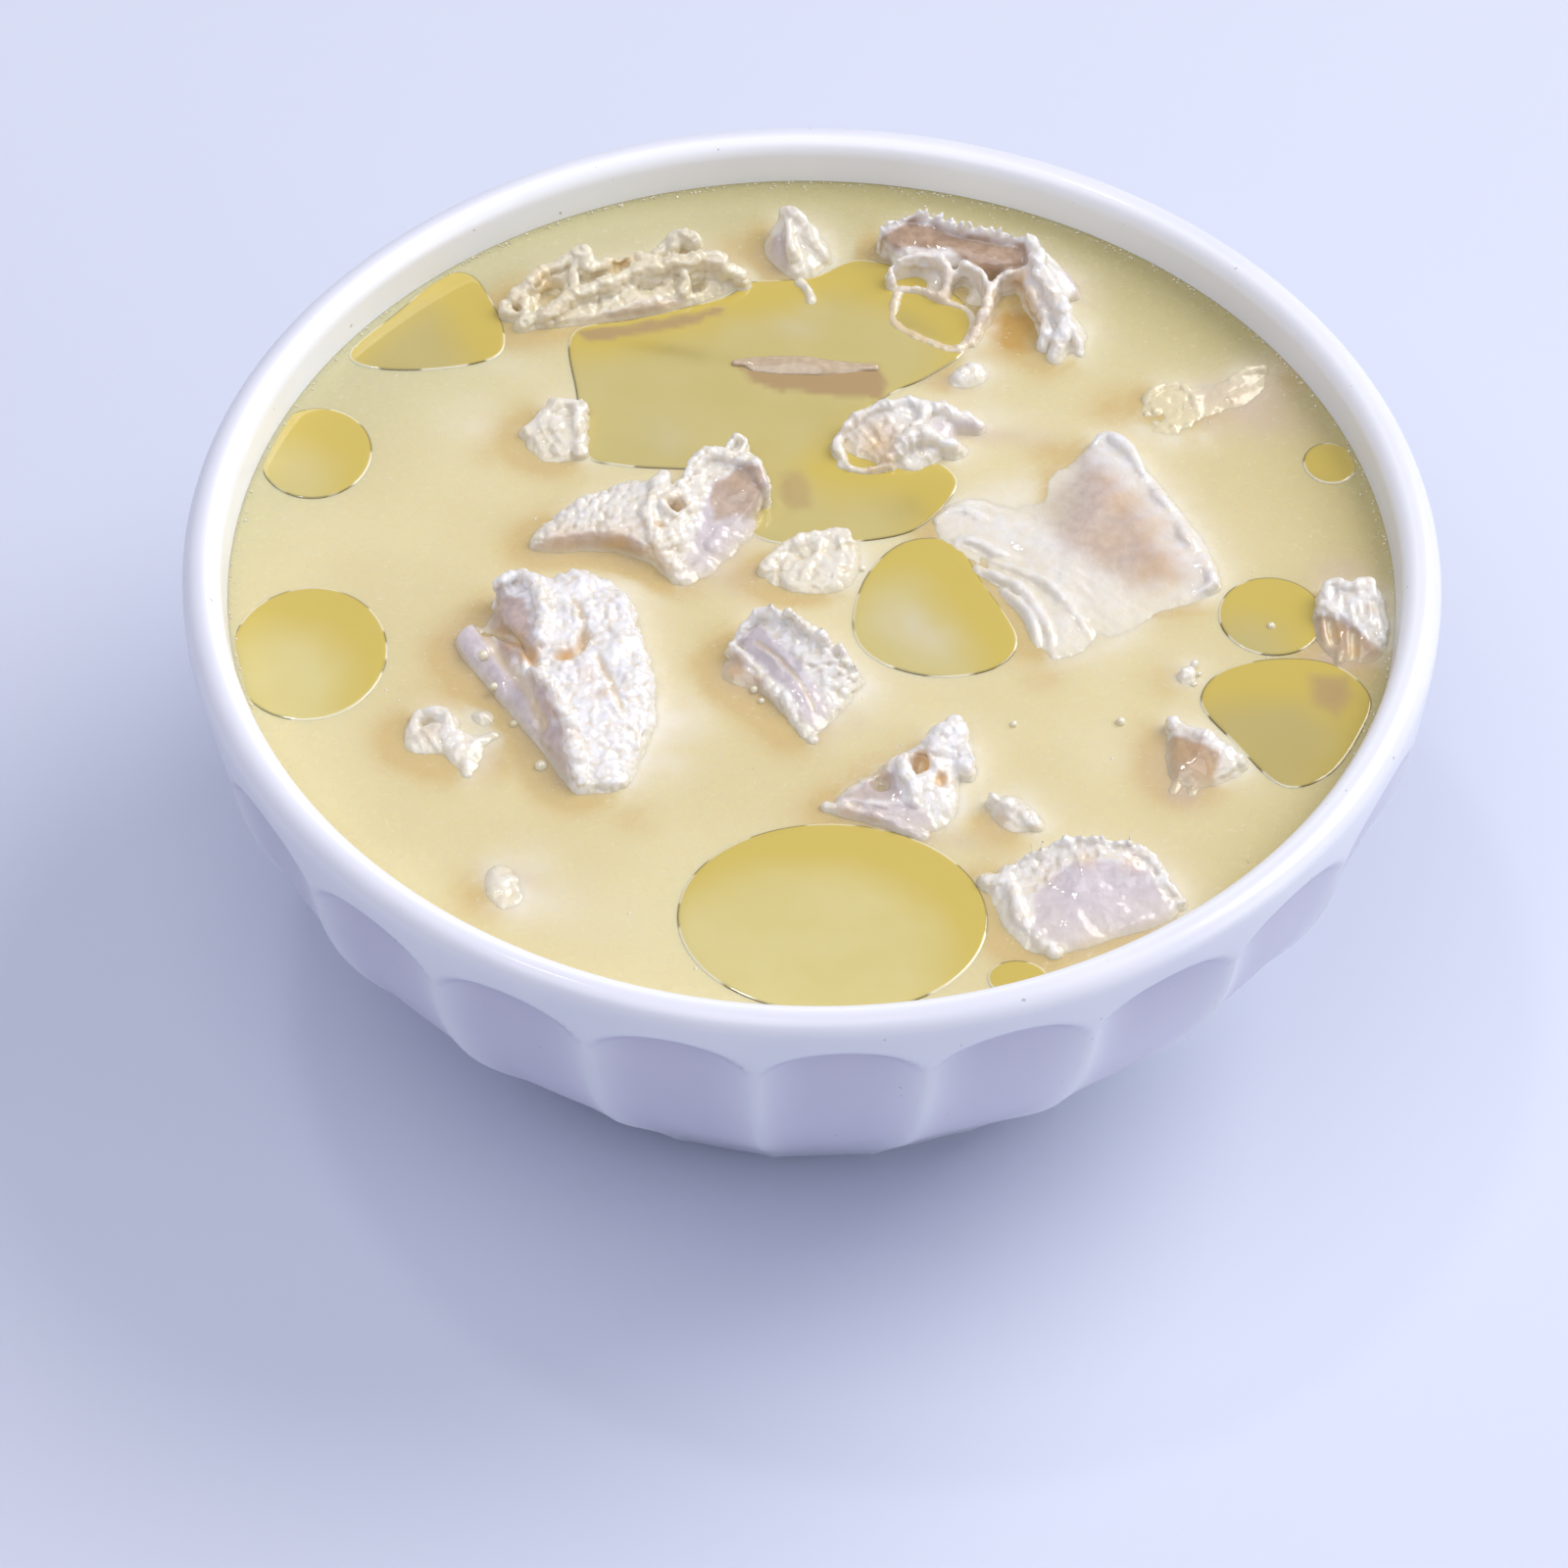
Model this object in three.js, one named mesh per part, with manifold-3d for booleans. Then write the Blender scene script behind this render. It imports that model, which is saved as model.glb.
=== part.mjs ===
// A bowl of tripe soup: a white porcelain bowl with arched flutes, a creamy soup up to just
// under its rim, pieces of tripe that stand out of the soup, and pools of clear yellow oil on it.
// Millimetres, +Z up. The origin is on the axis of the bowl, where its foot stands.
// The front is -Y, and a bearing is measured from the front towards +X.
import * as THREE from "three";
import { mergeVertices } from "three/addons/utils/BufferGeometryUtils.js";
import Module from "manifold-3d";

const wasm = await Module();
wasm.setup();

// ---- Driving dimensions ----
const HEIGHT = 62; // foot to crest of the rim
const RIM_RADIUS = 75; // widest point of the lip
const LIP_THICKNESS = 4.7;
const WALL = 5;
const FOOT_RADIUS = 44.4;
const FOOT_WIDTH = 5.9;
const FOOT_HEIGHT = 1;
const FOOT_RECESS = 2.4;
const BODY_FOOT_RADIUS = 46.5; // where the body meets the foot
const BODY_FOOT_HEIGHT = 1.8;
const BODY_SPREAD_RADIUS = 61.5; // the two inner handles of the body's curved profile
const BODY_SPREAD_HEIGHT = 25.1;
const BODY_UPRIGHT_HEIGHT = 33.6;
const BODY_TOP_BELOW_CREST = 2.9;
const FLOOR_INSIDE = 8; // inner floor above the table
const SOUP_BELOW_CREST = 6.14;
const GAP = 0.35; // between touching pieces

// The flutes: arched hollows side by side round the body, with narrow ridges between them.
const FLUTES = 24;
const FLUTE_DEPTH = 1.5;
const FLUTE_DEPTH_AT_FOOT = 0.45;
const FLUTE_TOP_BELOW_CREST = 3.9;
const ARCH_HEIGHT = 6;
const ARCH_RUN_IN = 4; // how far below its arch a flute reaches its full depth
const RIDGE_BEARING = THREE.MathUtils.degToRad(10.9);
const STEPS_PER_FLUTE = 3;

// The tripe: slabs with soft edges and an uneven surface.
const OUTLINE_STEP = 3.6; // between points along a slab's outline
const FEWEST_POINTS = 9;
const MOST_POINTS = 20;
const EDGE_ROUNDING = 0.3; // share of the thickness
const FRILL = 0.35; // how far the papillae stand out
const CROWN = 0.4; // rise of a slab's middle
const WELL_DEPTH = 2.6;
const WELL_SIDES = 6;
const WELL_FLARE = 1.25;

// The oil: thin lenses that float in the soup's surface.
const OIL_THICKNESS = 1.3;
const OIL_RISE = 0.15; // oil stands this much above the soup
const OIL_STEP = 3.2;
const ROUND_POOL_POINTS = 12;
const MOST_POOL_POINTS = 60;
const ROOM_ABOVE_OIL = 1;

const LIP_RADIUS = LIP_THICKNESS / 2;
const LIP_CENTRE = { radius: RIM_RADIUS - LIP_RADIUS, height: HEIGHT - LIP_RADIUS };
const SOUP_LEVEL = HEIGHT - SOUP_BELOW_CREST;
const FLUTE_ANGLE = (2 * Math.PI) / FLUTES;
const TINY = 0.01;
const HALVINGS = 30;
const SEGMENTS = FLUTES * STEPS_PER_FLUTE;

// ---- Where everything lies ----
// Each slab of a piece of tripe has the corners of its upper face, [x, y, height above the soup],
// and its thickness. Wells are the open cells of the honeycomb, [x, y, height, radius].
const slab = (thick, ...face) => ({ thick, face });

const TRIPE = {
  tripe_01: {
    slabs: [
      slab(
        5, [-38.5, 43, 0.3], [-34, 50.5, 2.5], [-25, 53, 3], [-17, 52.5, 3], [-9, 50.5, 0.8],
        [-16, 46.5, 1], [-30, 42, 0.8],
      ),
      slab(2.5, [-30.5, 43, 0], [-12, 48.5, 0], [-13, 47, -2], [-28.5, 42, -2.5]),
    ],
    wells: [
      [-33.5, 46, 2, 1.7], [-27.5, 47.5, 2.4, 1.8], [-21.5, 49.5, 2.6, 1.8], [-15.5, 49.5, 2, 1.6],
    ],
  },
  tripe_02: {
    slabs: [
      slab(6, [-4.5, 61, 4], [-1, 59, 3.5], [1.5, 54.5, 0.8], [-2.5, 50.5, 0.3], [-7, 55.5, 0.5]),
    ],
  },
  tripe_03: {
    slabs: [
      slab(
        6, [6.5, 56, 3], [11.5, 60.5, 5], [18, 57.5, 5], [26, 56, 5], [26, 50.5, 3.5], [18, 51.5, 2.3],
      ),
      slab(2.5, [8.5, 54, 1.5], [20.5, 52.5, 1.5], [20.5, 43, -1.5], [17, 42, -2.5], [10.5, 46, -2.5]),
      slab(
        4, [25.5, 55.5, 5], [28, 53, 4.8], [31.5, 44.5, 3], [33.5, 41, 1], [31, 38, 0.3],
        [28, 43.5, 1.2],
      ),
      slab(3, [27, 56.5, 3.5], [29.5, 54, 3], [33, 50, 1.5], [32.5, 48, 1], [29, 50, 1.5]),
    ],
    wells: [[12, 51, 1.6, 2.2], [17.5, 50.5, 1.6, 2.2], [24.5, 48.5, 3.4, 2.6]],
  },
  tripe_04: {
    slabs: [
      slab(2.5, [-10, 36, 0.3], [7.5, 35.5, 0.3], [8, 34, -0.8], [6, 32.5, -1.5], [-5, 33.5, -1.5]),
    ],
  },
  tripe_05: {
    slabs: [
      slab(
        5, [38, 27, 0.2], [43.5, 33, 1], [49.5, 34, 1], [55, 37.5, 1], [57.5, 33.5, 0],
        [52, 26.5, -0.3], [43, 23, 0],
      ),
    ],
  },
  tripe_06: {
    slabs: [
      slab(
        5, [-35.5, 22.5, 0.5], [-32, 27.5, 1.5], [-28.5, 27, 1.5], [-28.3, 19, 0.8], [-33.5, 17.5, 0.3],
      ),
    ],
  },
  tripe_07: {
    slabs: [
      slab(
        5, [2.5, 21.5, 0.8], [7.5, 26, 2.5], [11, 27.5, 3.5], [17.5, 27, 2], [16.5, 21, 1.5],
        [12, 17.5, 0.3], [5.5, 19, 0.5],
      ),
    ],
  },
  tripe_08: {
    slabs: [
      slab(
        4, [14.5, 10.5, 0.3], [30, 19.5, 0.3], [35.5, 24, 2], [38, 22.5, 2], [49, -1.5, 1.5],
        [45, -3.5, 0.4], [29, -14, 0.3],
      ),
    ],
  },
  tripe_09: {
    slabs: [
      slab(
        5, [-35, 3.5, 1], [-29, 9.5, 3], [-19.5, 13, 4], [-15.5, 10, 4], [-16.5, 1, 2.5], [-24, 3, 2.5],
      ),
      slab(
        5, [-16.5, 11.5, 4], [-13, 16, 4.5], [-8.5, 18.5, 4.5], [-5.5, 12.5, 4], [-8, 7.5, 2],
        [-14.5, 0, 0.3], [-16.5, 4.5, 2.6],
      ),
    ],
    wells: [[-17, 7.5, 3.8, 1.4], [-18.8, 3.6, 3.2, 1.1]],
  },
  tripe_10: {
    slabs: [
      slab(
        4, [-6.5, 0, 0.3], [-3.5, 3.5, 1.2], [2.5, 6.5, 1.8], [5.5, 4.5, 1.4], [4.5, -2, 0.4],
        [-2.5, -3, 0.3],
      ),
    ],
  },
  tripe_11: {
    slabs: [
      slab(
        7, [-38, -7.5, 3], [-34.5, -4.5, 4.5], [-23.5, -3.5, 3.5], [-19.5, -14.5, 4], [-18.5, -21, 3.5],
        [-26, -21.5, 5], [-32, -21, 5],
      ),
      slab(
        7, [-32, -20, 5], [-24.5, -20.5, 5], [-18.5, -21, 3.2], [-18.5, -28, 2], [-21, -35.5, 0.8],
        [-26.5, -36, 0.8],
      ),
      slab(
        4, [-42.5, -11.5, 1], [-40, -9.5, 2], [-34, -16.5, 3], [-30.5, -24.5, 3], [-27, -36, 0.3],
        [-35, -24, 0.4],
      ),
    ],
  },
  tripe_12: {
    slabs: [
      slab(4, [-47.5, -29.5, 0.2], [-46, -26.5, 1], [-44, -25, 1.5], [-40, -28, 1], [-43, -30.5, 0.3]),
      slab(2.5, [-42, -28, 0.8], [-38, -27, 0.6], [-38.8, -33.5, 0], [-40.2, -33.5, 0]),
    ],
  },
  tripe_13: {
    slabs: [
      slab(3, [-40, -23.5, 0.8], [-37, -22.5, 0.8], [-35.8, -23.8, 0.5], [-38, -25.8, 0.3]),
    ],
  },
  tripe_14: {
    slabs: [
      slab(
        6, [-8.5, -13.5, 1.5], [-6.5, -11, 4], [-3, -10, 4.8], [3, -15, 4.3], [6, -18.5, 2.5],
        [4, -22, 0.8], [0.5, -27, 0.2],
      ),
      slab(3, [-11, -16.5, 0.3], [-8.5, -13.5, 1.3], [-4, -20, 0.8], [-7, -19.5, 0.2]),
    ],
  },
  tripe_15: {
    slabs: [
      slab(
        5, [2, -37.5, 0.3], [7, -32.5, 2], [11.5, -29.5, 3.5], [15.5, -30, 3], [17.5, -38.5, 0.5],
        [13.5, -41.5, 0.3], [6.5, -39.5, 0.3],
      ),
      slab(5, [13, -29.5, 3], [16, -26, 3.5], [18.5, -27.5, 3.4], [19, -31.5, 2], [16, -33, 1.6]),
    ],
    wells: [[8.5, -34, 2.2, 1.3], [12.2, -31.8, 3.2, 1.4]],
  },
  tripe_16: {
    slabs: [
      slab(4, [20.5, -38, 0.2], [23, -35, 1.8], [27, -39.5, 0.8], [23.5, -41, 0]),
    ],
  },
  tripe_17: {
    slabs: [
      slab(
        7, [20, -47.5, 0.5], [26.5, -44.5, 3], [30.5, -44, 4], [38, -45.5, 3.5], [43.5, -51.5, 1],
        [34, -57.5, 0.3], [25, -59, 0.3],
      ),
    ],
  },
  tripe_18: {
    slabs: [
      slab(
        6, [42.5, -23.5, 2], [48.5, -27, 2.5], [51, -30.5, 1.3], [44.5, -33.8, 0.3], [41.5, -32, 0.6],
      ),
    ],
  },
  tripe_19: {
    slabs: [
      slab(6, [60.5, -2.5, 2], [66.5, -1.5, 3], [68.3, -7, 2], [67, -13, 0.6], [61, -12.5, 0.5]),
    ],
  },
  tripe_20: {
    slabs: [
      slab(
        4, [-36.5, -47.5, 0.3], [-34, -46.5, 0.3], [-31, -51.5, 0.1], [-33.5, -54.5, 0], [-36, -53, 0],
      ),
    ],
  },
  tripe_21: {
    slabs: [
      slab(3, [16.5, 32.5, 0.5], [18.5, 36, 1.5], [21, 36.5, 1.2], [21, 33, 0.3]),
    ],
  },
  tripe_22: {
    slabs: [
      slab(3, [43.5, -15, 1.2], [45.2, -14, 1.2], [46, -17, 0.2], [44, -17.5, 0.2]),
    ],
  },
};

// The pools: round ones by centre and half widths, and the others by the points of their outline.
const OIL = {
  oil_01: {
    points: [
      [-30.5, 41], [-29.5, 30], [-28, 20], [-24, 18], [-15.5, 17.5], [-6.5, 17.5], [-6.5, 11],
      [-7.5, 7], [-2, 5], [9, 6.5], [14, 9.5], [17.5, 16], [14, 20], [6, 20], [3, 24], [9, 31],
      [14, 34.5], [19, 40], [19, 47], [14, 52], [5.5, 55.5], [-1, 52], [-8.5, 51], [-12, 48],
      [-22.5, 44],
    ],
  },
  oil_02: {
    points: [
      [-58, 37], [-52.5, 44.5], [-47.5, 51], [-44, 51.5], [-41.5, 48], [-39, 41], [-40, 36.5],
      [-47, 34.2], [-55, 34.2],
    ],
  },
  oil_03: { centre: [-61, 19.1], half: [6.9, 7.8] },
  oil_04: { centre: [-59.3, -14.3], half: [9.3, 10.7] },
  oil_05: { centre: [3.1, -53.6], half: [17.6, 14.1] },
  oil_06: {
    points: [
      [5, -8.5], [6.5, 0], [11, 5.8], [17, 6], [20.5, -0.5], [24.5, -9.5], [22, -14.5], [15, -16.2],
      [8, -13.8],
    ],
  },
  oil_07: { centre: [63.2, 20.7], half: [3.3, 3.5] },
  oil_08: { centre: [54.9, -5.3], half: [6.3, 6.4] },
  oil_09: {
    points: [
      [46, -19.5], [48.5, -14.5], [55, -12.2], [62, -13], [66, -18], [64.5, -24], [60.5, -30.5],
      [55, -32.3], [49.5, -25.5],
    ],
  },
  oil_10: { centre: [24, -62], half: [3.4, 2.6] },
};

const MATERIALS = {
  porcelain: { color: 0xf1f3fa, roughness: 0.12, metalness: 0 },
  soup: { color: 0xe4d9a6, roughness: 0.25, metalness: 0 },
  tripe: { color: 0xebe4d4, roughness: 0.45, metalness: 0 },
  oil: { color: 0xd8c766, roughness: 0.05, metalness: 0 },
};

// ---- Helpers ----
// Seeded random numbers from 0 to 1 (mulberry32).
function randomFrom(seed) {
  let state = seed;
  return () => {
    state = (state + 0x6d2b79f5) | 0;
    let t = Math.imul(state ^ (state >>> 15), 1 | state);
    t = (t + Math.imul(t ^ (t >>> 7), 61 | t)) ^ t;
    return ((t ^ (t >>> 14)) >>> 0) / 4294967296;
  };
}

// A closed three.js geometry as a solid.
function toSolid(geometry) {
  const bare = geometry.clone();
  bare.deleteAttribute("normal");
  bare.deleteAttribute("uv");
  const merged = mergeVertices(bare, 1e-4);
  return new wasm.Manifold(
    new wasm.Mesh({
      numProp: 3,
      vertProperties: new Float32Array(merged.attributes.position.array),
      triVerts: new Uint32Array(merged.index.array),
    }),
  );
}

// The largest body of a solid as a three.js geometry: loose scraps that a cut leaves are dropped.
function toGeometry(solid) {
  const bodies = solid.decompose().sort((a, b) => b.volume() - a.volume());
  const mesh = bodies[0].getMesh();
  const geometry = new THREE.BufferGeometry();
  geometry.setAttribute("position", new THREE.Float32BufferAttribute(mesh.vertProperties, 3));
  geometry.setIndex(new THREE.Uint32BufferAttribute(mesh.triVerts, 1));
  geometry.computeVertexNormals();
  return geometry;
}

function unite(solids) {
  return solids.reduce((whole, solid) => whole.add(solid));
}

// A profile of [radius, height] points that starts and ends on the axis, turned about +Z.
// Its segments start at a ridge between two flutes.
function turned(profile) {
  const points = profile.map(([radius, height]) => new THREE.Vector2(radius, height));
  return new THREE.LatheGeometry(points, SEGMENTS, RIDGE_BEARING).rotateX(Math.PI / 2);
}

// Rings of equally many points, joined in turn and closed by a point at each end.
function skin(bottom, rings, top) {
  const count = rings[0].length;
  const positions = [bottom, ...rings.flat(), top].flatMap((p) => [p.x, p.y, p.z]);
  const last = 1 + rings.length * count;
  const at = (ring, i) => 1 + ring * count + (i % count);
  const index = [];
  for (let i = 0; i < count; i++) {
    index.push(0, at(0, i + 1), at(0, i));
    for (let ring = 0; ring + 1 < rings.length; ring++) {
      index.push(at(ring, i), at(ring, i + 1), at(ring + 1, i));
      index.push(at(ring, i + 1), at(ring + 1, i + 1), at(ring + 1, i));
    }
    index.push(at(rings.length - 1, i), at(rings.length - 1, i + 1), last);
  }
  const geometry = new THREE.BufferGeometry();
  geometry.setAttribute("position", new THREE.Float32BufferAttribute(positions, 3));
  geometry.setIndex(index);
  return geometry;
}

// Newell's normal of a ring of points, which works for a slightly warped face too.
function normalOf(points) {
  const normal = new THREE.Vector3();
  points.forEach((p, i) => {
    const next = points[(i + 1) % points.length];
    normal.add(new THREE.Vector3().crossVectors(p, next));
  });
  return normal.normalize();
}

// A smooth closed outline through some points, anticlockwise from above, with its outward directions.
function outlineThrough(corners, step, fewest, most) {
  const turning = normalOf(corners).z < 0 ? [...corners].reverse() : corners;
  const curve = new THREE.CatmullRomCurve3(turning, true, "centripetal");
  const count = THREE.MathUtils.clamp(Math.round(curve.getLength() / step), fewest, most);
  const points = curve.getSpacedPoints(count).slice(0, count);
  const normal = normalOf(points);
  const outward = points.map((_, i) => {
    const along = points[(i + 1) % count].clone().sub(points[(i + count - 1) % count]);
    return along.cross(normal).normalize();
  });
  return { points, outward, normal };
}

// ---- The bowl ----
// The body's outer profile, from the foot up to the lip.
const bodyCurve = new THREE.CubicBezierCurve(
  new THREE.Vector2(BODY_FOOT_RADIUS, BODY_FOOT_HEIGHT),
  new THREE.Vector2(BODY_SPREAD_RADIUS, BODY_SPREAD_HEIGHT),
  new THREE.Vector2(RIM_RADIUS, BODY_UPRIGHT_HEIGHT),
  new THREE.Vector2(RIM_RADIUS, HEIGHT - BODY_TOP_BELOW_CREST),
);
const OUTER_STEPS = [0, 0.12, 0.26, 0.4, 0.54, 0.66, 0.76, 0.83, 0.885, 0.93, 0.965, 1];
const INNER_STEPS = [0.82, 0.64, 0.44, 0.22];

// How far the surface lies in from the profile at a bearing and height.
function fluteDepth(bearing, height) {
  const turns = (bearing - RIDGE_BEARING) / FLUTE_ANGLE;
  const across = 2 * Math.abs(turns - Math.floor(turns) - 0.5); // 0 mid-flute, 1 on a ridge
  const drop = 1 - Math.sqrt(Math.max(0, 1 - across ** 2));
  const archTop = HEIGHT - FLUTE_TOP_BELOW_CREST - ARCH_HEIGHT * drop;
  const below = THREE.MathUtils.smoothstep(archTop - height, 0, ARCH_RUN_IN);
  const deep = THREE.MathUtils.lerp(FLUTE_DEPTH_AT_FOOT, FLUTE_DEPTH, height / HEIGHT);
  return deep * below * (1 - across ** 2);
}

// The inner wall's profile, inset by a gap, from the floor's edge up to below the rim.
function innerWall(inset) {
  return [...INNER_STEPS].reverse().map((t) => {
    const point = bodyCurve.getPoint(t);
    const along = bodyCurve.getTangent(t);
    const thickness = WALL + inset;
    const height = Math.max(point.y + along.x * thickness, FLOOR_INSIDE + inset);
    return [point.x - along.y * thickness, height];
  });
}

function bowl() {
  const outside = OUTER_STEPS.map((t) => bodyCurve.getPoint(t)).map((p) => [p.x, p.y]);
  const lip = [0, 0.25, 0.5, 0.75, 1].map((share) => [
    LIP_CENTRE.radius + LIP_RADIUS * Math.cos(share * Math.PI),
    LIP_CENTRE.height + LIP_RADIUS * Math.sin(share * Math.PI),
  ]);
  const geometry = turned([
    [0, FOOT_RECESS],
    [FOOT_RADIUS - FOOT_WIDTH - FOOT_RECESS, FOOT_RECESS],
    [FOOT_RADIUS - FOOT_WIDTH, 0],
    [FOOT_RADIUS, 0],
    [FOOT_RADIUS, FOOT_HEIGHT],
    ...outside,
    ...lip,
    ...innerWall(0).reverse(),
    [0, FLOOR_INSIDE],
  ]);
  const position = geometry.attributes.position;
  for (let i = 0; i < position.count; i++) {
    const point = new THREE.Vector3().fromBufferAttribute(position, i);
    const radius = Math.hypot(point.x, point.y);
    const onBody = point.z > BODY_FOOT_HEIGHT - TINY && radius > bodyRadius(point.z) - TINY;
    if (!onBody) continue;
    const scale = (radius - fluteDepth(Math.atan2(point.x, -point.y), point.z)) / radius;
    position.setXYZ(i, point.x * scale, point.y * scale, point.z);
  }
  return toSolid(geometry);
}

// The radius of the body's outer profile at a height, by halving.
function bodyRadius(height) {
  let low = 0;
  let high = 1;
  for (let i = 0; i < HALVINGS; i++) {
    const middle = (low + high) / 2;
    if (bodyCurve.getPoint(middle).y < height) low = middle;
    else high = middle;
  }
  return bodyCurve.getPoint(low).x;
}

// What the bowl can hold, a gap clear of its wall, up to a height.
function filling(top) {
  const wall = innerWall(GAP);
  const brim = LIP_CENTRE.radius - LIP_RADIUS - GAP;
  const [highRadius, highHeight] = wall[wall.length - 1];
  const share = (top - highHeight) / (LIP_CENTRE.height - highHeight);
  return toSolid(
    turned([
      [0, FLOOR_INSIDE + GAP],
      ...wall,
      [THREE.MathUtils.lerp(highRadius, brim, share), top],
      [0, top],
    ]),
  );
}

// ---- The tripe ----
// The outline of a slab's upper face, with its centre.
function faceOf({ face }) {
  const corners = face.map(([x, y, up]) => new THREE.Vector3(x, y, SOUP_LEVEL + up));
  const outline = outlineThrough(corners, OUTLINE_STEP, FEWEST_POINTS, MOST_POINTS);
  const sum = outline.points.reduce((total, p) => total.add(p), new THREE.Vector3());
  return { ...outline, centre: sum.divideScalar(outline.points.length) };
}

function slabSolid(piece, random) {
  const { points, outward, normal, centre } = faceOf(piece);
  const { thick } = piece;
  const round = EDGE_ROUNDING * thick;
  const frills = points.map(() => FRILL * (2 * random() - 1));
  const ring = (inset, depth, toCentre, frill) =>
    points.map((p, i) =>
      p
        .clone()
        .lerp(centre, toCentre)
        .addScaledVector(outward[i], frill * frills[i] - inset)
        .addScaledVector(normal, frill * frills[(i + 1) % points.length] - depth),
    );
  return toSolid(
    skin(
      centre.clone().addScaledVector(normal, -thick),
      [
        ring(round, thick, 0, 0),
        ring(0, thick - round, 0, 0),
        ring(0, round, 0, 1),
        ring(round / 2, 0, 0, 1),
        ring(0, -CROWN / 2, 0.5, 1),
      ],
      centre.clone().addScaledVector(normal, CROWN),
    ),
  );
}

// A plain prism a gap larger than a slab, papillae included: the room that the slab takes.
function slabRoom(piece) {
  const { points, outward, normal, centre } = faceOf(piece);
  const { thick } = piece;
  const grow = GAP + FRILL;
  const ring = (depth) =>
    points.map((p, i) => p.clone().addScaledVector(outward[i], grow).addScaledVector(normal, -depth));
  return toSolid(
    skin(
      centre.clone().addScaledVector(normal, -thick - GAP),
      [ring(thick + GAP), ring(-grow - CROWN)],
      centre.clone().addScaledVector(normal, grow + CROWN),
    ),
  );
}

function wellCutter([x, y, up, radius]) {
  const mouth = radius * WELL_FLARE;
  const geometry = new THREE.CylinderGeometry(mouth, radius, 2 * WELL_DEPTH, WELL_SIDES);
  geometry.rotateX(Math.PI / 2).translate(x, y, SOUP_LEVEL + up);
  return toSolid(geometry);
}

function tripe({ slabs, wells = [] }, seed, room) {
  const random = randomFrom(seed);
  const whole = unite(slabs.map((slab) => slabSolid(slab, random))).intersect(room);
  return wells.map(wellCutter).reduce((rest, well) => rest.subtract(well), whole);
}

// ---- The oil ----
function poolCorners({ points, centre, half }) {
  if (points) return points.map(([x, y]) => new THREE.Vector3(x, y, 0));
  return Array.from({ length: ROUND_POOL_POINTS }, (_, i) => {
    const angle = (2 * Math.PI * i) / ROUND_POOL_POINTS;
    const x = centre[0] + half[0] * Math.cos(angle);
    const y = centre[1] + half[1] * Math.sin(angle);
    return new THREE.Vector3(x, y, 0);
  });
}

function poolSolid(pool, grow, below, above) {
  const { points, outward } = outlineThrough(poolCorners(pool), OIL_STEP, ROUND_POOL_POINTS, MOST_POOL_POINTS);
  const edge = points.map((p, i) => p.clone().addScaledVector(outward[i], grow));
  const shape = new THREE.Shape(edge.map((p) => new THREE.Vector2(p.x, p.y)));
  const geometry = new THREE.ExtrudeGeometry(shape, { depth: below + above, bevelEnabled: false });
  return toSolid(geometry.translate(0, 0, SOUP_LEVEL - below));
}

// ---- The whole ----
const insideBowl = filling(LIP_CENTRE.height);
const roomOfTripe = unite(Object.values(TRIPE).flatMap(({ slabs }) => slabs.map(slabRoom)));
const roomOfOil = unite(
  Object.values(OIL).map((pool) => poolSolid(pool, GAP, OIL_THICKNESS + GAP, ROOM_ABOVE_OIL)),
);

const group = new THREE.Group();

function place(name, solid, material) {
  const mesh = new THREE.Mesh(toGeometry(solid), new THREE.MeshStandardMaterial(material));
  mesh.name = name;
  group.add(mesh);
}

place("bowl", bowl(), MATERIALS.porcelain);
place("soup", filling(SOUP_LEVEL).subtract(roomOfTripe).subtract(roomOfOil), MATERIALS.soup);
Object.entries(TRIPE).forEach(([name, piece], i) => {
  place(name, tripe(piece, i + 1, insideBowl), MATERIALS.tripe);
});
Object.entries(OIL).forEach(([name, pool]) => {
  const lens = poolSolid(pool, 0, OIL_THICKNESS, OIL_RISE);
  place(name, lens.intersect(insideBowl).subtract(roomOfTripe), MATERIALS.oil);
});

export default group;
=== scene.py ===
"""The looks of a bowl of tripe soup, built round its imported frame.

Shapes are worked out in millimetres, with +Z up and the front at -Y, and turned into metres when they
become objects. Heights in the tables of tripe are above the soup's level, and the bowl's are above
the table. A bearing is measured from the front towards +X.
"""
import math

import bmesh
import bpy
import numpy as np
from mathutils import Matrix, Vector
from mathutils.bvhtree import BVHTree
from mathutils.geometry import delaunay_2d_cdt


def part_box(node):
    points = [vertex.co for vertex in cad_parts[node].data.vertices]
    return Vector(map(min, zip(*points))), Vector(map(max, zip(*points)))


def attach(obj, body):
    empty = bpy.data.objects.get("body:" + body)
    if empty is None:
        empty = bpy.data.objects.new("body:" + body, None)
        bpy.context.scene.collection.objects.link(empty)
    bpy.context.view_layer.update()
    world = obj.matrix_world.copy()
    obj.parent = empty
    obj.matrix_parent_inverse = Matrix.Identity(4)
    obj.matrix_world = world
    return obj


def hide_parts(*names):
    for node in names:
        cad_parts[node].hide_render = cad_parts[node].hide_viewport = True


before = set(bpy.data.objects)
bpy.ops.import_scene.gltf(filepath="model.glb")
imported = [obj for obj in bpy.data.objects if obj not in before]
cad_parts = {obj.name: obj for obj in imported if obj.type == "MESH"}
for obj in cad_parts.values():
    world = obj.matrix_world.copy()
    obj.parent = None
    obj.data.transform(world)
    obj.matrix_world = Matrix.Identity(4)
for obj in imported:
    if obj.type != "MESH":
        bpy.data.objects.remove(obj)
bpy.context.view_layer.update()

MM = 0.001

# ---- Sizes that the frame gives ----
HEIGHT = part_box("bowl")[1].z / MM
RIM_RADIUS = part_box("bowl")[1].x / MM
SOUP_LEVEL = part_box("soup")[1].z / MM

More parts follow.
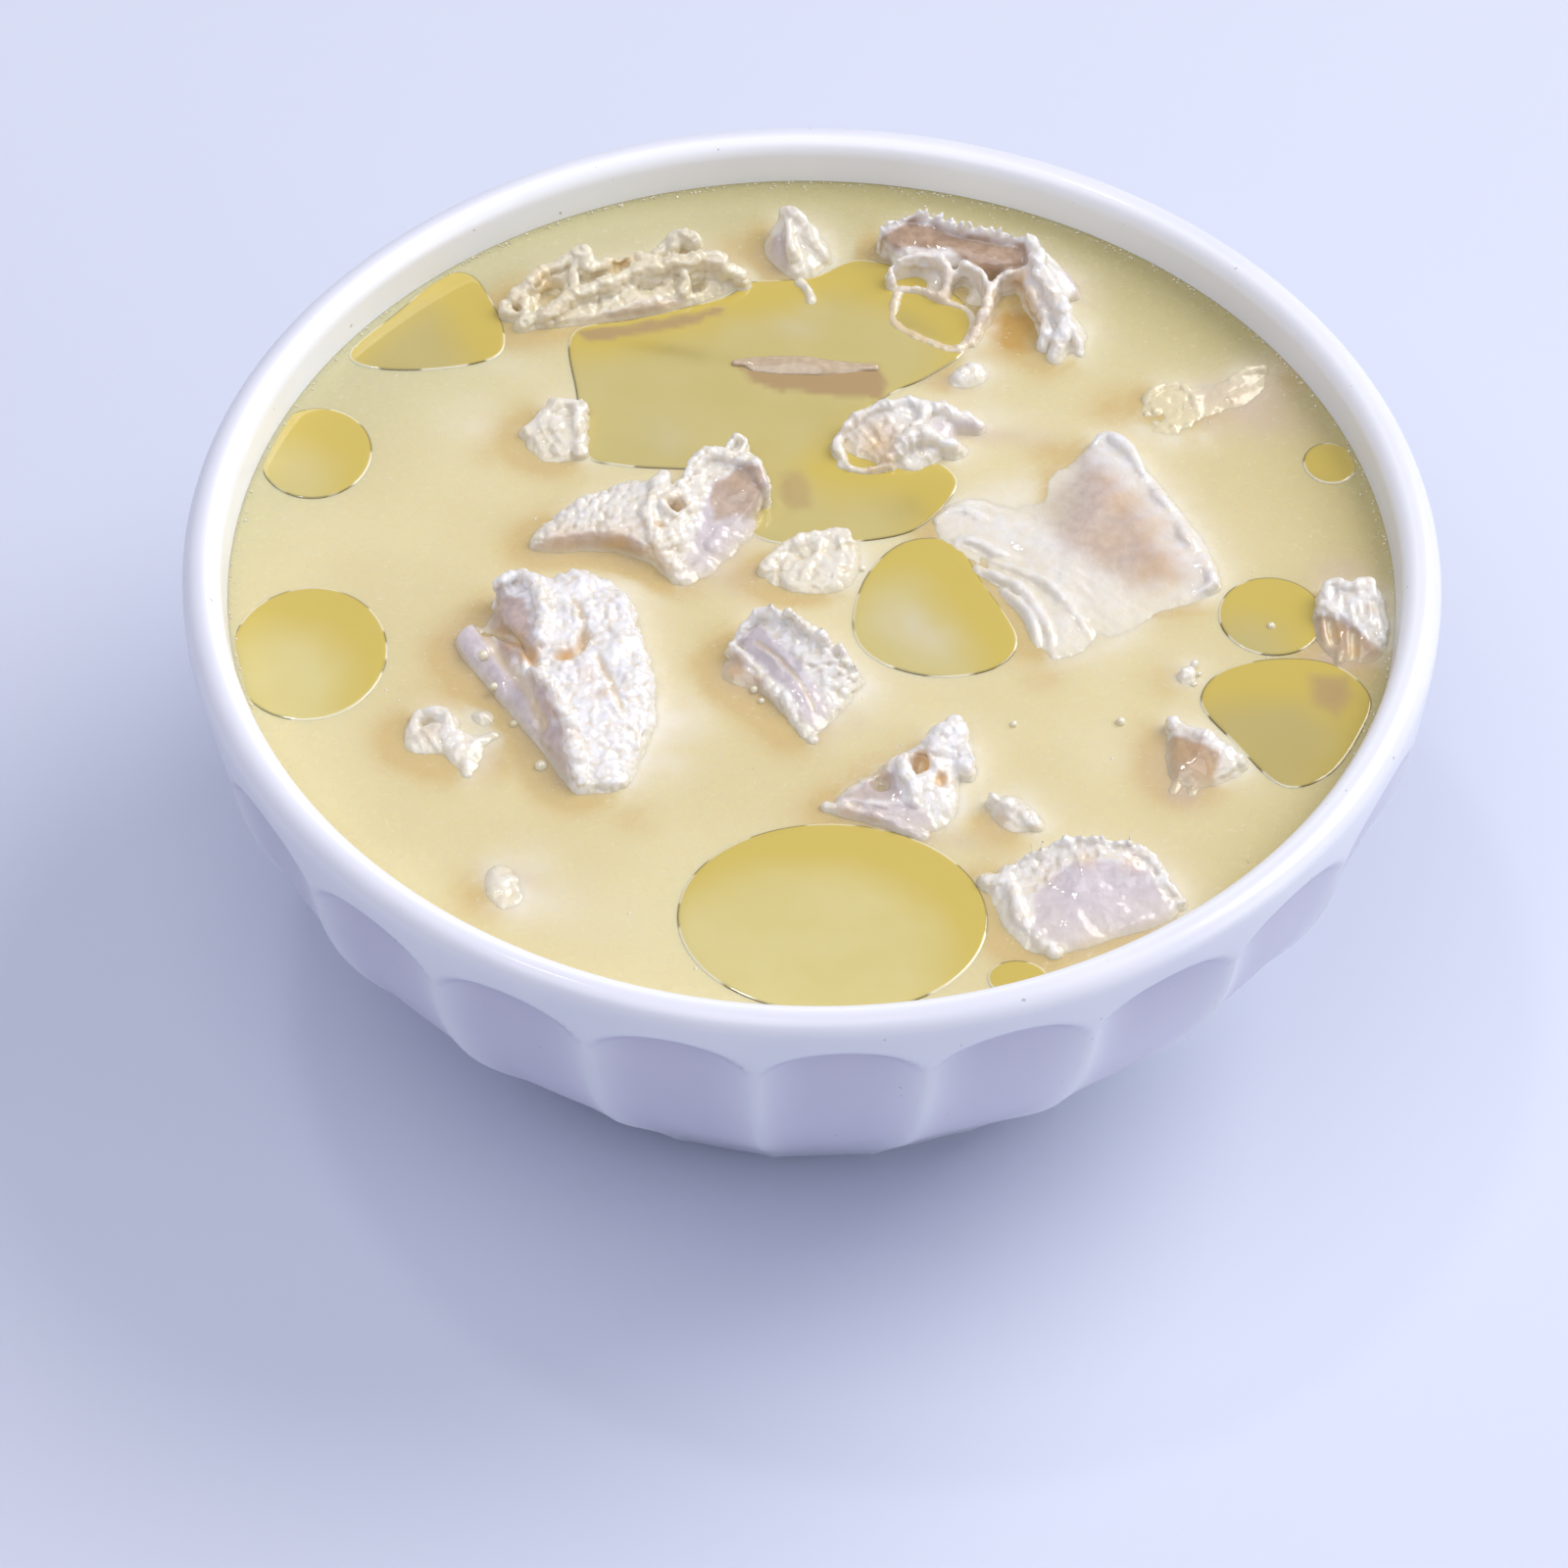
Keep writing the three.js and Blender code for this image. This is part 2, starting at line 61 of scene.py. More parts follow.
# ---- The bowl, as the CAD model has it, but with sharper flutes ----
LIP_THICKNESS = 4.7
LIP_RADIUS = LIP_THICKNESS / 2
LIP_CENTRE = (RIM_RADIUS - LIP_RADIUS, HEIGHT - LIP_RADIUS)
WALL = 5
FOOT_RADIUS = 44.4
FOOT_WIDTH = 5.9
FOOT_HEIGHT = 1
FOOT_RECESS = 2.4
FOOT_ROUNDING = 0.5
FLOOR_INSIDE = 8
BODY_HANDLES = [(46.5, 1.8), (61.5, 25.1), (RIM_RADIUS, 33.6), (RIM_RADIUS, HEIGHT - 2.9)]
INNER_START, INNER_END = 0.22, 0.82  # share of the body's curve that the inner wall follows

FLUTES = 24
FLUTE_DEPTH = 1.5
FLUTE_DEPTH_AT_FOOT = 0.45
FLUTE_TOP_BELOW_CREST = 3.9
ARCH_HEIGHT = 6
ARCH_RUN_IN = 2.4
RIDGE_SHARPNESS = 3.2  # the higher, the flatter a flute is between its ridges
RIDGE_BEARING = math.radians(10.9)
STEPS_PER_FLUTE = 22

# ---- The soup ----
SOUP_CELLS = 250  # across the surface
SOUP_REACH = 0.15  # how far the soup reaches into the wall
MENISCUS_HEIGHT = 0.4
MENISCUS_WIDTH = 0.7
CLING_HEIGHT = 0.12  # how far the soup rises up the tripe
CLING_WIDTH = 0.5
VEIL_WIDTH = 1.5  # how far from the tripe its pale foot shows through the soup
COVER_WIDTH = 160  # of the square grid for the tints round the tripe
COVER_SQUARES = 400
SHADE_BLUR = 2.3
SHADE_SHIFT = (2.0, 1.3)  # from a shaded place to the tripe that shades it
LIT_SHIFT = (1.8, 1.2)
OLIVE_BEARING, OLIVE_WIDTH = math.radians(118), 13  # the clearer broth along the wall, with painted shade of the wall
GREY_BEARING, GREY_WIDTH = math.radians(190), 17

# ---- The camera: its place and aim stand for the photograph's ----
PHOTO_SIZE = 1600  # pixels
FOCAL_LENGTH = 5500  # pixels
RIM_POINT = (824.25, 558.92)  # where the middle of the rim shows
DOWNWARD = 0.8018  # radians
DISTANCE = 643.65  # to the middle of the rim
ROLL = 0.01915
RIM_PLANE = 60.6
SENSOR = 36


# ---- Numbers and fields ----
def smoothstep(low, high, value):
    t = np.clip((value - low) / (high - low), 0, 1)
    return t * t * (3 - 2 * t)


def lerp(a, b, share):
    return a + (b - a) * share


def hashed(cells, seed):
    """A number from 0 to 1 for each whole-numbered cell [N, 3]."""
    c = cells.astype(np.int64)
    mixed = c[:, 0] * 374761393 + c[:, 1] * 668265263 + c[:, 2] * 2147483647 + seed * 1274126177
    mixed = (mixed ^ (mixed >> 13)) & 0x7FFFFFFF
    mixed = (mixed * 1103515245 + 12345) & 0x7FFFFFFF
    mixed = (mixed ^ (mixed >> 15)) * 1103515245 & 0x7FFFFFFF
    return mixed / 0x7FFFFFFF


def noise(points, size, seed):
    """Smooth noise from -1 to 1 whose lumps are about size across."""
    p = points / size
    base = np.floor(p)
    t = p - base
    t = t * t * (3 - 2 * t)
    total = np.zeros(len(p))
    for corner in np.ndindex(2, 2, 2):
        weight = np.prod(np.where(corner, t, 1 - t), axis=1)
        total += weight * hashed(base + corner, seed)
    return 2 * total - 1


def rough_noise(points, size, seed, octaves=3):
    return sum(noise(points, size / 2**i, seed + i) / 2**i for i in range(octaves))


def knob_field(points, spacing, seed):
    """Rounded knobs side by side: 1 at the middle of each, 0 in the grooves between them."""
    p = points / spacing
    base = np.floor(p)
    nearest = np.full(len(p), 9.0)
    for step in np.ndindex(3, 3, 3):
        cell = base + np.array(step) - 1
        middle = cell + 0.15 + 0.7 * np.stack([hashed(cell, seed + i) for i in range(3)], 1)
        nearest = np.minimum(nearest, ((p - middle) ** 2).sum(1))
    return np.sqrt(np.clip(1 - nearest / 0.55, 0, 1))


def heading(bearing):
    """The flat directions along a bearing and across it."""
    return np.array([math.sin(bearing), -math.cos(bearing)]), np.array([math.cos(bearing), math.sin(bearing)])


def at_height(flat, height=0):
    """Flat points [N, 2] as places, all at one height or each at its own."""
    return np.column_stack([flat, np.broadcast_to(height, len(flat))])


def stretched(points, bearing, along, across):
    """The points with lengths along a bearing divided by along, and the others by across."""
    ahead, side = heading(bearing)
    flat = points[:, :2]
    return np.stack([flat @ ahead / along, flat @ side / across, points[:, 2] / across], 1)


def outside_by(flat, outline):
    """How far each point [N, 2] lies outside a closed outline, less than 0 inside it."""
    start = np.asarray(outline, float)
    step = np.roll(start, -1, 0) - start
    nearest = np.full(len(flat), np.inf)
    inside = np.zeros(len(flat), bool)
    for (sx, sy), (dx, dy) in zip(start, step):
        px, py = flat[:, 0] - sx, flat[:, 1] - sy
        share = np.clip((px * dx + py * dy) / (dx * dx + dy * dy), 0, 1)
        nearest = np.minimum(nearest, (px - share * dx) ** 2 + (py - share * dy) ** 2)
        if dy != 0:
            crosses = (flat[:, 1] < sy) != (flat[:, 1] < sy + dy)
            inside ^= crosses & (px < dx * py / dy)
    return np.where(inside, -1, 1) * np.sqrt(nearest)


def curve_through(points, step, closed=False):
    """Evenly spread points, about a step apart, on a smooth curve through some points."""
    corners = np.asarray(points, float)
    count = len(corners)
    spans = count if closed else count - 1
    at = (lambda i: corners[i % count]) if closed else (lambda i: corners[min(max(i, 0), count - 1)])
    fine = []
    for i in range(spans):
        p0, p1, p2, p3 = at(i - 1), at(i), at(i + 1), at(i + 2)
        for t in np.linspace(0, 1, 24, endpoint=False):
            a, b = 2 * p1, p2 - p0
            c, d = 2 * p0 - 5 * p1 + 4 * p2 - p3, 3 * p1 - p0 - 3 * p2 + p3
            fine.append((a + b * t + c * t**2 + d * t**3) / 2)
    fine = np.array(fine + [corners[0] if closed else corners[-1]])
    along = np.concatenate([[0], np.cumsum(np.linalg.norm(np.diff(fine[:, :2], axis=0), axis=1))])
    wanted = np.linspace(0, along[-1], max(3, round(along[-1] / step)) + 1)
    if closed:
        wanted = wanted[:-1]
    return np.stack([np.interp(wanted, along, column) for column in fine.T], 1)


# ---- Meshes ----
def add_object(name, points, faces, material):
    mesh = bpy.data.meshes.new(name)
    mesh.from_pydata((np.asarray(points) * MM).tolist(), [], faces)
    mesh.polygons.foreach_set("use_smooth", [True] * len(mesh.polygons))
    mesh.materials.append(material)
    mesh.update()
    piece = bpy.data.objects.new(name, mesh)
    bpy.context.scene.collection.objects.link(piece)
    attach(piece, "root")
    return piece


def add_field(piece, name, values):
    """Keeps one number for each point of a piece, for its material."""
    attribute = piece.data.attributes.new(name, "FLOAT", "POINT")
    attribute.data.foreach_set("value", np.asarray(values, np.float32))


def grid_faces(rows, columns, closed=True):
    """The quads between rows of points, each of which is a ring if closed."""
    faces = []
    for row in range(rows - 1):
        for i in range(columns if closed else columns - 1):
            j = (i + 1) % columns
            here, above = row * columns, (row + 1) * columns
            faces.append((here + i, here + j, above + j, above + i))
    return faces


# ---- Materials ----
def linear(red, green, blue):
    """A colour as it shows on a screen, from 0 to 255, as the shaders take it."""
    shares = [c / 255 for c in (red, green, blue)]
    return [c / 12.92 if c <= 0.04045 else ((c + 0.055) / 1.055) ** 2.4 for c in shares] + [1]


class Nodes:
    """A new material with one Principled shader, and short ways to feed its sockets."""

    def __init__(self, name, **settings):
        self.material = bpy.data.materials.new(name)
        self.material.use_nodes = True
        self.tree = self.material.node_tree
        self.shader = self.tree.nodes["Principled BSDF"]
        for socket, value in settings.items():
            self.shader.inputs[socket.replace("_", " ")].default_value = value

    def new(self, kind, **sockets):
        node = self.tree.nodes.new("ShaderNode" + kind)
        for socket, value in sockets.items():
            self.feed(node.inputs[socket.replace("_", " ")], value)
        return node

    def feed(self, socket, value):
        if isinstance(value, bpy.types.NodeSocket):
            self.tree.links.new(value, socket)
        else:
            socket.default_value = value

    def field(self, name):
        node = self.new("Attribute")
        node.attribute_name = name
        return node.outputs["Fac"]

    def times(self, value, factor):
        node = self.new("Math")
        node.operation = "MULTIPLY"
        self.feed(node.inputs[0], value)
        self.feed(node.inputs[1], factor)
        return node.outputs[0]

    def mix(self, share, a, b):
        node = self.new("Mix")
        node.data_type = "RGBA"
        for number, value in ((0, share), (6, a), (7, b)):
            self.feed(node.inputs[number], value)
        return node.outputs[2]

    def tinted(self, colour, **tints):
        """A colour with others laid over it in turn, each as much as the field of its name says."""
        for name, tint in tints.items():
            colour = self.mix(self.field(name), colour, linear(*tint))
        return colour

    def mottle(self, size, detail=2, stretch=(1, 1, 1)):
        """Noise from 0 to 1 whose lumps are about size millimetres across."""
        place = self.new("TexCoord").outputs["Object"]
        mapping = self.new("Mapping", Vector=place, Scale=stretch)
        grain = self.new("TexNoise", Vector=mapping.outputs[0], Scale=1 / (size * MM), Detail=detail)
        return grain.outputs["Fac"]

    def blotches(self, size, low=0.35, high=0.65, **more):
        """Mottle stretched out: 0 where it is at low, 1 where it is at high."""
        value = self.mottle(size, **more)
        return self.new("MapRange", Value=value, From_Min=low, From_Max=high).outputs[0]

    def roughness(self, size, least, most):
        value = self.mottle(size)
        node = self.new("MapRange", Value=value, From_Min=0.3, From_Max=0.7, To_Min=least, To_Max=most)
        return node.outputs[0]

    def bump(self, size, depth, strength, detail=2):
        """Small lumps, size and depth in millimetres."""
        node = self.new("Bump", Height=self.mottle(size, detail), Distance=depth * MM, Strength=strength)
        return node.outputs[0]

    def finish(self, colour, roughness, normal=None):
        self.feed(self.shader.inputs["Base Color"], colour)
        self.feed(self.shader.inputs["Roughness"], roughness)
        if normal is not None:
            self.feed(self.shader.inputs["Normal"], normal)
        return self.material


def porcelain():
    """White glaze: a darker lavender in its flutes, partly glaze that lies thick there and partly painted
    shade, most under each arch's top; painted whiter on the inside as painted light; with a faint ripple and
    a few pinholes.
    """
    nodes = Nodes("porcelain_glaze", Coat_Weight=0.25, Coat_Roughness=0.1)
    white = nodes.mix(nodes.blotches(22), linear(235, 237, 245), linear(229, 232, 242))
    # painted light: the bowl's inner face gets a whiter glaze than its outside
    # the flutes darker lavender: partly thick glaze, partly painted shade, most under each arch's top
    white = nodes.tinted(white, pooled=(168, 158, 194), inside=(248, 251, 255))
    pinholes = nodes.times(nodes.blotches(0.9, 0.145, 0.12, detail=0), 0.5)
    colour = nodes.mix(pinholes, white, linear(150, 145, 140))
    return nodes.finish(colour, nodes.roughness(9, 0.3, 0.38), nodes.bump(2.6, 0.02, 0.5))


def soup_liquid():
    """Creamy broth: what lies in it and on it tints it through the fields of its points, among them painted
    shadows of the tripe, painted light beside its lit side, and painted shade along the wall.
    """
    nodes = Nodes(
        "soup_broth", Coat_Weight=0.35, Coat_Roughness=0.05, Subsurface_Weight=0.3, Subsurface_Scale=0.0022,
        Subsurface_Radius=(1.0, 0.75, 0.3),
    )
    cream = nodes.mix(nodes.blotches(26), linear(228, 217, 168), linear(223, 210, 160))
    # grey and olive: clearer broth along the wall, with painted shade of the wall
    # painted shadow: orange-brown shade of the tripe on the broth, with patches of fat
    colour = nodes.tinted(cream, grey=(196, 192, 150), olive=(180, 164, 92), halo=(202, 164, 90))
    colour = nodes.tinted(colour, ghost=(238, 231, 210), flesh=(206, 184, 160))
    curds = nodes.times(nodes.blotches(0.55, 0.66, 0.8, detail=1), 0.35)
    colour = nodes.mix(curds, colour, linear(240, 234, 205))
    return nodes.finish(colour, nodes.roughness(4, 0.22, 0.32), nodes.bump(6, 0.05, 0.4))


def clear_oil():
    """Yellow oil: deeper in colour and in painted shade at its far side, with a thin painted line of
    highlight and shade at its edge.
    """
    nodes = Nodes("yellow_oil", Coat_Weight=1.0, Coat_Roughness=0.02)
    pale = nodes.mix(nodes.blotches(8), linear(219, 206, 138), linear(215, 201, 128))
    # the far side of each pool: deeper in colour and in painted shade
    colour = nodes.tinted(pale, ghost=(226, 218, 186), olive=(168, 150, 78), deep=(209, 186, 82))
    colour = nodes.tinted(colour, flesh=(180, 152, 104))
    # painted highlight and shade: a thin line along the oil's edge, bright in some patches and dark in others
    line = nodes.mix(nodes.blotches(5, 0.47, 0.53, detail=0), linear(92, 86, 50), linear(250, 248, 225))
    colour = nodes.mix(nodes.field("edge"), colour, line)
    return nodes.finish(colour, nodes.roughness(3, 0.05, 0.1), nodes.bump(5, 0.03, 0.3))


def cooked_tripe():
    """Wet tripe: white papillae, pinkish or brown cut faces, broth and painted shade in its hollows, and
    orange spots of broth with painted shade.
    """
    nodes = Nodes(
        "cooked_tripe", Coat_Weight=1.0, Coat_Roughness=0.07, Subsurface_Weight=0.4, Subsurface_Scale=0.0012,
        Subsurface_Radius=(1.0, 0.85, 0.7),
    )
    white = nodes.mix(nodes.blotches(1.6), linear(242, 243, 246), linear(238, 234, 226))
    fibres = nodes.blotches(1.2, detail=3, stretch=(1, 1, 0.3))
    pink = nodes.mix(fibres, linear(222, 214, 220), linear(209, 200, 206))
    brown = nodes.mix(fibres, linear(192, 164, 138), linear(168, 138, 112))
    flesh = nodes.mix(nodes.field("brown"), pink, brown)
    colour = nodes.mix(nodes.field("cut"), white, flesh)
    # broth in the grooves between papillae and in clefts, with painted shade there
    # orange spots: broth in the hollows, and painted shade under folds and in clefts
    colour = nodes.tinted(colour, groove=(238, 218, 176), warm=(222, 172, 92), wet=(229, 217, 176))
    return nodes.finish(colour, nodes.roughness(0.8, 0.3, 0.5), nodes.bump(0.5, 0.12, 0.5, detail=3))


def bubble_skin():
    nodes = Nodes("bubble_film", Coat_Weight=1.0, Coat_Roughness=0.02)
    tint = nodes.mix(nodes.blotches(1, 0.4, 0.6), linear(240, 236, 214), linear(230, 220, 180))
    return nodes.finish(tint, nodes.roughness(0.6, 0.05, 0.12))


PORCELAIN = porcelain()
BROTH = soup_liquid()
OIL = clear_oil()
TRIPE = cooked_tripe()
BUBBLE = bubble_skin()


# ---- The bowl ----
def body_point(share):
    """The body's outer profile, (radius, height), and its direction, at a share of its curve."""
    handles = np.array(BODY_HANDLES, float)
    s = 1 - share
    point = s**3 * handles[0] + 3 * s * s * share * handles[1]
    point = point + 3 * s * share**2 * handles[2] + share**3 * handles[3]
    steps = np.diff(handles, axis=0)
    along = s * s * steps[0] + 2 * s * share * steps[1] + share**2 * steps[2]
    return point, along / np.linalg.norm(along)


def inner_wall(count):
    """The inner wall's profile, from under the lip down to the floor's edge."""
    rows = []
    for share in np.linspace(INNER_END, INNER_START, count):
        point, along = body_point(share)
        height = max(point[1] + along[0] * WALL, FLOOR_INSIDE)
        rows.append((point[0] - along[1] * WALL, height))
    return rows


def soup_radius(height):
    """The inside radius of the bowl between its lip and the top of its curved wall."""
    high = inner_wall(2)[0]
    brim = (LIP_CENTRE[0] - LIP_RADIUS, LIP_CENTRE[1])
    return lerp(high[0], brim[0], (height - high[1]) / (brim[1] - high[1]))


def bowl_profile():
    """(radius, height, whether it can be fluted) from under the foot, outside up and inside down."""
    inside_foot = FOOT_RADIUS - FOOT_WIDTH
    rows = [(0, FOOT_RECESS), (inside_foot / 2, FOOT_RECESS), (inside_foot - FOOT_RECESS, FOOT_RECESS)]
    rows += [(inside_foot, 0), (FOOT_RADIUS - FOOT_ROUNDING, 0)]
    rows += [(FOOT_RADIUS, FOOT_ROUNDING), (FOOT_RADIUS, FOOT_HEIGHT)]
    plain = [(r, z, False) for r, z in rows]
    shares = np.concatenate([np.linspace(0, 0.8, 34), np.linspace(0.8, 1, 42)[1:]])
    body = [(*body_point(share)[0], True) for share in shares]
    lip = []
    for angle in np.linspace(0, math.pi, 18)[1:]:
        r = LIP_CENTRE[0] + LIP_RADIUS * math.cos(angle)
        z = LIP_CENTRE[1] + LIP_RADIUS * math.sin(angle)
        lip.append((r, z, False))
    brim = lip[-1]
    high = inner_wall(2)[0]
    upright = [(lerp(brim[0], high[0], t), lerp(brim[1], high[1], t), False) for t in (0.3, 0.6)]
    wall = [(r, z, False) for r, z in inner_wall(14)]
    floor = [(wall[-1][0] * share, FLOOR_INSIDE, False) for share in (0.66, 0.33, 0)]
    return plain + body + lip + upright + wall + floor


def flute(bearing, height):
    """How far the body lies in from its profile, and how much darker lavender it is painted there: partly
    thick glaze, partly painted shade, most just under each arch's top.
    """
    turns = (bearing - RIDGE_BEARING) / (2 * math.pi / FLUTES)
    across = 2 * np.abs(turns - np.floor(turns) - 0.5)
    arch_top = HEIGHT - FLUTE_TOP_BELOW_CREST - ARCH_HEIGHT * (1 - np.sqrt(np.clip(1 - across**2, 0, 1)))
    below = smoothstep(0, ARCH_RUN_IN, arch_top - height)
    deep = lerp(FLUTE_DEPTH_AT_FOOT, FLUTE_DEPTH, height / HEIGHT)
    hollow = below * (1 - across**RIDGE_SHARPNESS)
    # painted shade in a crescent just under each arch's top
    under_arch = 4 * below * (1 - below) * (1 - across**4)
    high = smoothstep(-0.2 * HEIGHT, 0.6 * HEIGHT, height)
    return deep * hollow, (0.5 * hollow + 0.5 * under_arch) * high


def make_bowl():
    around = FLUTES * STEPS_PER_FLUTE
    bearings = RIDGE_BEARING + np.linspace(0, 2 * math.pi, around, endpoint=False)
    profile = bowl_profile()
    crest = np.argmax([height for _, height, _ in profile])
    points, pooled, inside = [], [], []
    for number, (radius, height, fluted) in enumerate(profile):
        # painted light: how much of the whiter glaze of the inner face each row gets
        within = smoothstep(0, 0.6, LIP_CENTRE[0] - radius) if number > crest else 0
        inside.append(np.full(around, float(within)))
        deep, thick_glaze = flute(bearings, height) if fluted else np.zeros((2, around))
        pooled.append(thick_glaze)
        ring = (radius - deep)[:, None] * np.stack([np.sin(bearings), -np.cos(bearings)], 1)
        points.append(at_height(ring, height))
    faces = grid_faces(len(profile), around)
    bowl = add_object("bowl_glazed", np.concatenate(points), faces, PORCELAIN)
    add_field(bowl, "pooled", np.concatenate(pooled))
    add_field(bowl, "inside", np.concatenate(inside))
    merge_close(bowl)
    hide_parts("bowl")


def merge_close(piece):
    """Joins the points that lie in one place, such as those of a ring without a radius."""
    loose = bmesh.new()
    loose.from_mesh(piece.data)
    bmesh.ops.remove_doubles(loose, verts=loose.verts, dist=1e-3 * MM)
    bmesh.ops.recalc_face_normals(loose, faces=loose.faces)
    loose.to_mesh(piece.data)
    loose.free()


# ---- Where the oil lies ----
# The pools, as the CAD model has them: round ones by centre and half widths, others by their outline.
POOLS = {
    "oil_01": [
        (-30.5, 41), (-29.5, 30), (-28, 20), (-24, 18), (-15.5, 17.5), (-6.5, 17.5), (-6.5, 11), (-7.5, 7),
        (-2, 5), (9, 6.5), (14, 9.5), (17.5, 16), (14, 20), (6, 20), (3, 24), (9, 31), (14, 34.5), (19, 40),
        (19, 47), (14, 52), (5.5, 55.5), (-1, 52), (-8.5, 51), (-12, 48), (-22.5, 44),
    ],
    "oil_02": [
        (-58, 37), (-52.5, 44.5), (-47.5, 51), (-44, 51.5), (-41.5, 48), (-39, 41), (-40, 36.5), (-47, 34.2),
        (-55, 34.2),
    ],
    "oil_03": {"centre": (-61, 19.1), "half": (6.9, 7.8)},
    "oil_04": {"centre": (-59.3, -14.3), "half": (9.3, 10.7)},
    "oil_05": {"centre": (3.1, -53.6), "half": (17.6, 14.1)},
    "oil_06": [
        (5, -8.5), (6.5, 0), (11, 5.8), (17, 6), (20.5, -0.5), (24.5, -9.5), (22, -14.5), (15, -16.2),
        (8, -13.8),
    ],
    "oil_07": {"centre": (63.2, 20.7), "half": (3.3, 3.5)},
    "oil_08": {"centre": (54.9, -5.3), "half": (6.3, 6.4)},
    "oil_09": [
        (46, -19.5), (48.5, -14.5), (55, -12.2), (62, -13), (66, -18), (64.5, -24), (60.5, -30.5),
        (55, -32.3), (49.5, -25.5),
    ],
    "oil_10": {"centre": (24, -62), "half": (3.4, 2.6)},
}


# ---- What the tripe shows ----
FORMS = {}


def form(number, **shown):
    """What one piece of tripe shows on top of its CAD solid. Points are (x, y, height).

    ridges: (half thickness, points) of its raised walls, rims and tips
    loops: the same, for walls that close on themselves
    teeth: (half thickness, points) of a row of papillae along an edge
    dots: (radius, points) of single papillae
    cracks: (half width, depth, points) of its clefts
    cuts: (how brown, outline) of its smooth cut faces
    warm: (x, y, radius, strength) of orange spots of broth, and painted shade in hollows and under folds
    knobs, spacing: height and spacing of its papillae
    folds, grain: height and bearing of its uneven folds
    veil, sunk: how far up the broth tints it, and how strongly at the soup
    creamy: how much the broth tints all of it
    uneven, taper: how much its ridges vary, and narrow towards their ends
    rounding: how often its solid is smoothed first
    rough: how much of the uneven noise it gets
    lift: how much higher it lies than its solid
    soft: how softly its cut faces end
    """
    plain = dict(ridges=[], loops=[], teeth=[], dots=[], cracks=[], cuts=[], warm=[], knobs=0.35, spacing=1.2)
    plain.update(folds=0.3, grain=0.6, veil=0.7, sunk=0.82, uneven=0.35, rounding=4, rough=1, lift=0)
    plain.update(creamy=0.2, taper=0, soft=0.5)
    FORMS[f"tripe_{number:02}"] = {**plain, **shown}


form(1, spacing=1.1, knobs=0.4, creamy=0.7, ridges=[
    (0.85, [(-21, 51.5, 1.5), (-19.5, 54, 3.3), (-17.5, 54.8, 4.3), (-15.5, 54, 4.2)]),
    (0.55, [(-18.5, 51.8, 2.6), (-18.3, 53.2, 3.6), (-17.5, 54.5, 4.1)]),
    (0.9, [(-38, 45.5, 1), (-36.5, 47.5, 1.8), (-33.5, 50.3, 2.6), (-30, 51.8, 3.5), (-28.8, 49.8, 3.3)]),
    (0.8, [(-28.8, 49.8, 3.2), (-26.5, 50.8, 3.1), (-24, 52, 2.6), (-21, 51.5, 2.8)]),
    (0.95, [(-37, 42.3, 0.6), (-33.5, 43.6, 1.5), (-30, 45.6, 2.6), (-26.5, 47.2, 3), (-22.5, 49.4, 3.4)]),
    (0.95, [(-22.5, 49.4, 3.4), (-18, 50.4, 3.9), (-15, 51.2, 3.8), (-12, 50.8, 3), (-9.3, 50.3, 1)]),
    (0.6, [(-30, 45.6, 2.6), (-30.6, 48, 2.8), (-30, 51, 3.2)]),
    (0.5, [(-17, 50.4, 3.6), (-16.6, 48.6, 2.4), (-16.8, 47.4, 1.4)]),
], loops=[(0.6, [(-39, 44, 0.8), (-38, 45.8, 1.3), (-36.5, 45.4, 1.5), (-36.6, 43.6, 1.1)])], cracks=[
    (0.9, 1.1, [(-33.6, 47), (-33, 48)]), (0.8, 0.9, [(-25, 50), (-24.6, 51)]),
], cuts=[(1, [(-30.5, 41), (-21, 43.6), (-11.5, 46), (-12.5, 47.9), (-21.5, 45.7), (-30, 43)])], warm=[
    (-34, 48.2, 1.6, 1), (-24.5, 51.2, 1.8, 1), (-37.5, 44.6, 0.9, 0.9), (-31.5, 45, 1.3, 0.4),
    (-18.5, 49, 1.6, 0.45), (-14, 49, 1.8, 0.35), (-27.5, 48.8, 1.3, 0.3), (-32, 43.6, 1.6, 0.3),
])
form(2, knobs=0.12, folds=0.25, grain=0.3, creamy=0.45, ridges=[
    (0.9, [(-4.3, 60.4, 3.6), (-1.6, 58.3, 2.8), (1, 55, 0.9)]),
    (0.6, [(-4.3, 60.4, 3.6), (-4, 57.5, 3.4), (-3, 54, 2.4)]),
    (0.45, [(-2.2, 51, 0.2), (-1.2, 49.5, 0.35), (-0.8, 47.5, 0.2)]),
], cuts=[(0.3, [(-6.8, 57.5), (-4.4, 57.8), (-3.4, 52.4), (-6.2, 52.8)])], warm=[
    (-7.5, 56.5, 1.4, 0.4), (-5, 51.5, 1.5, 0.5),
])
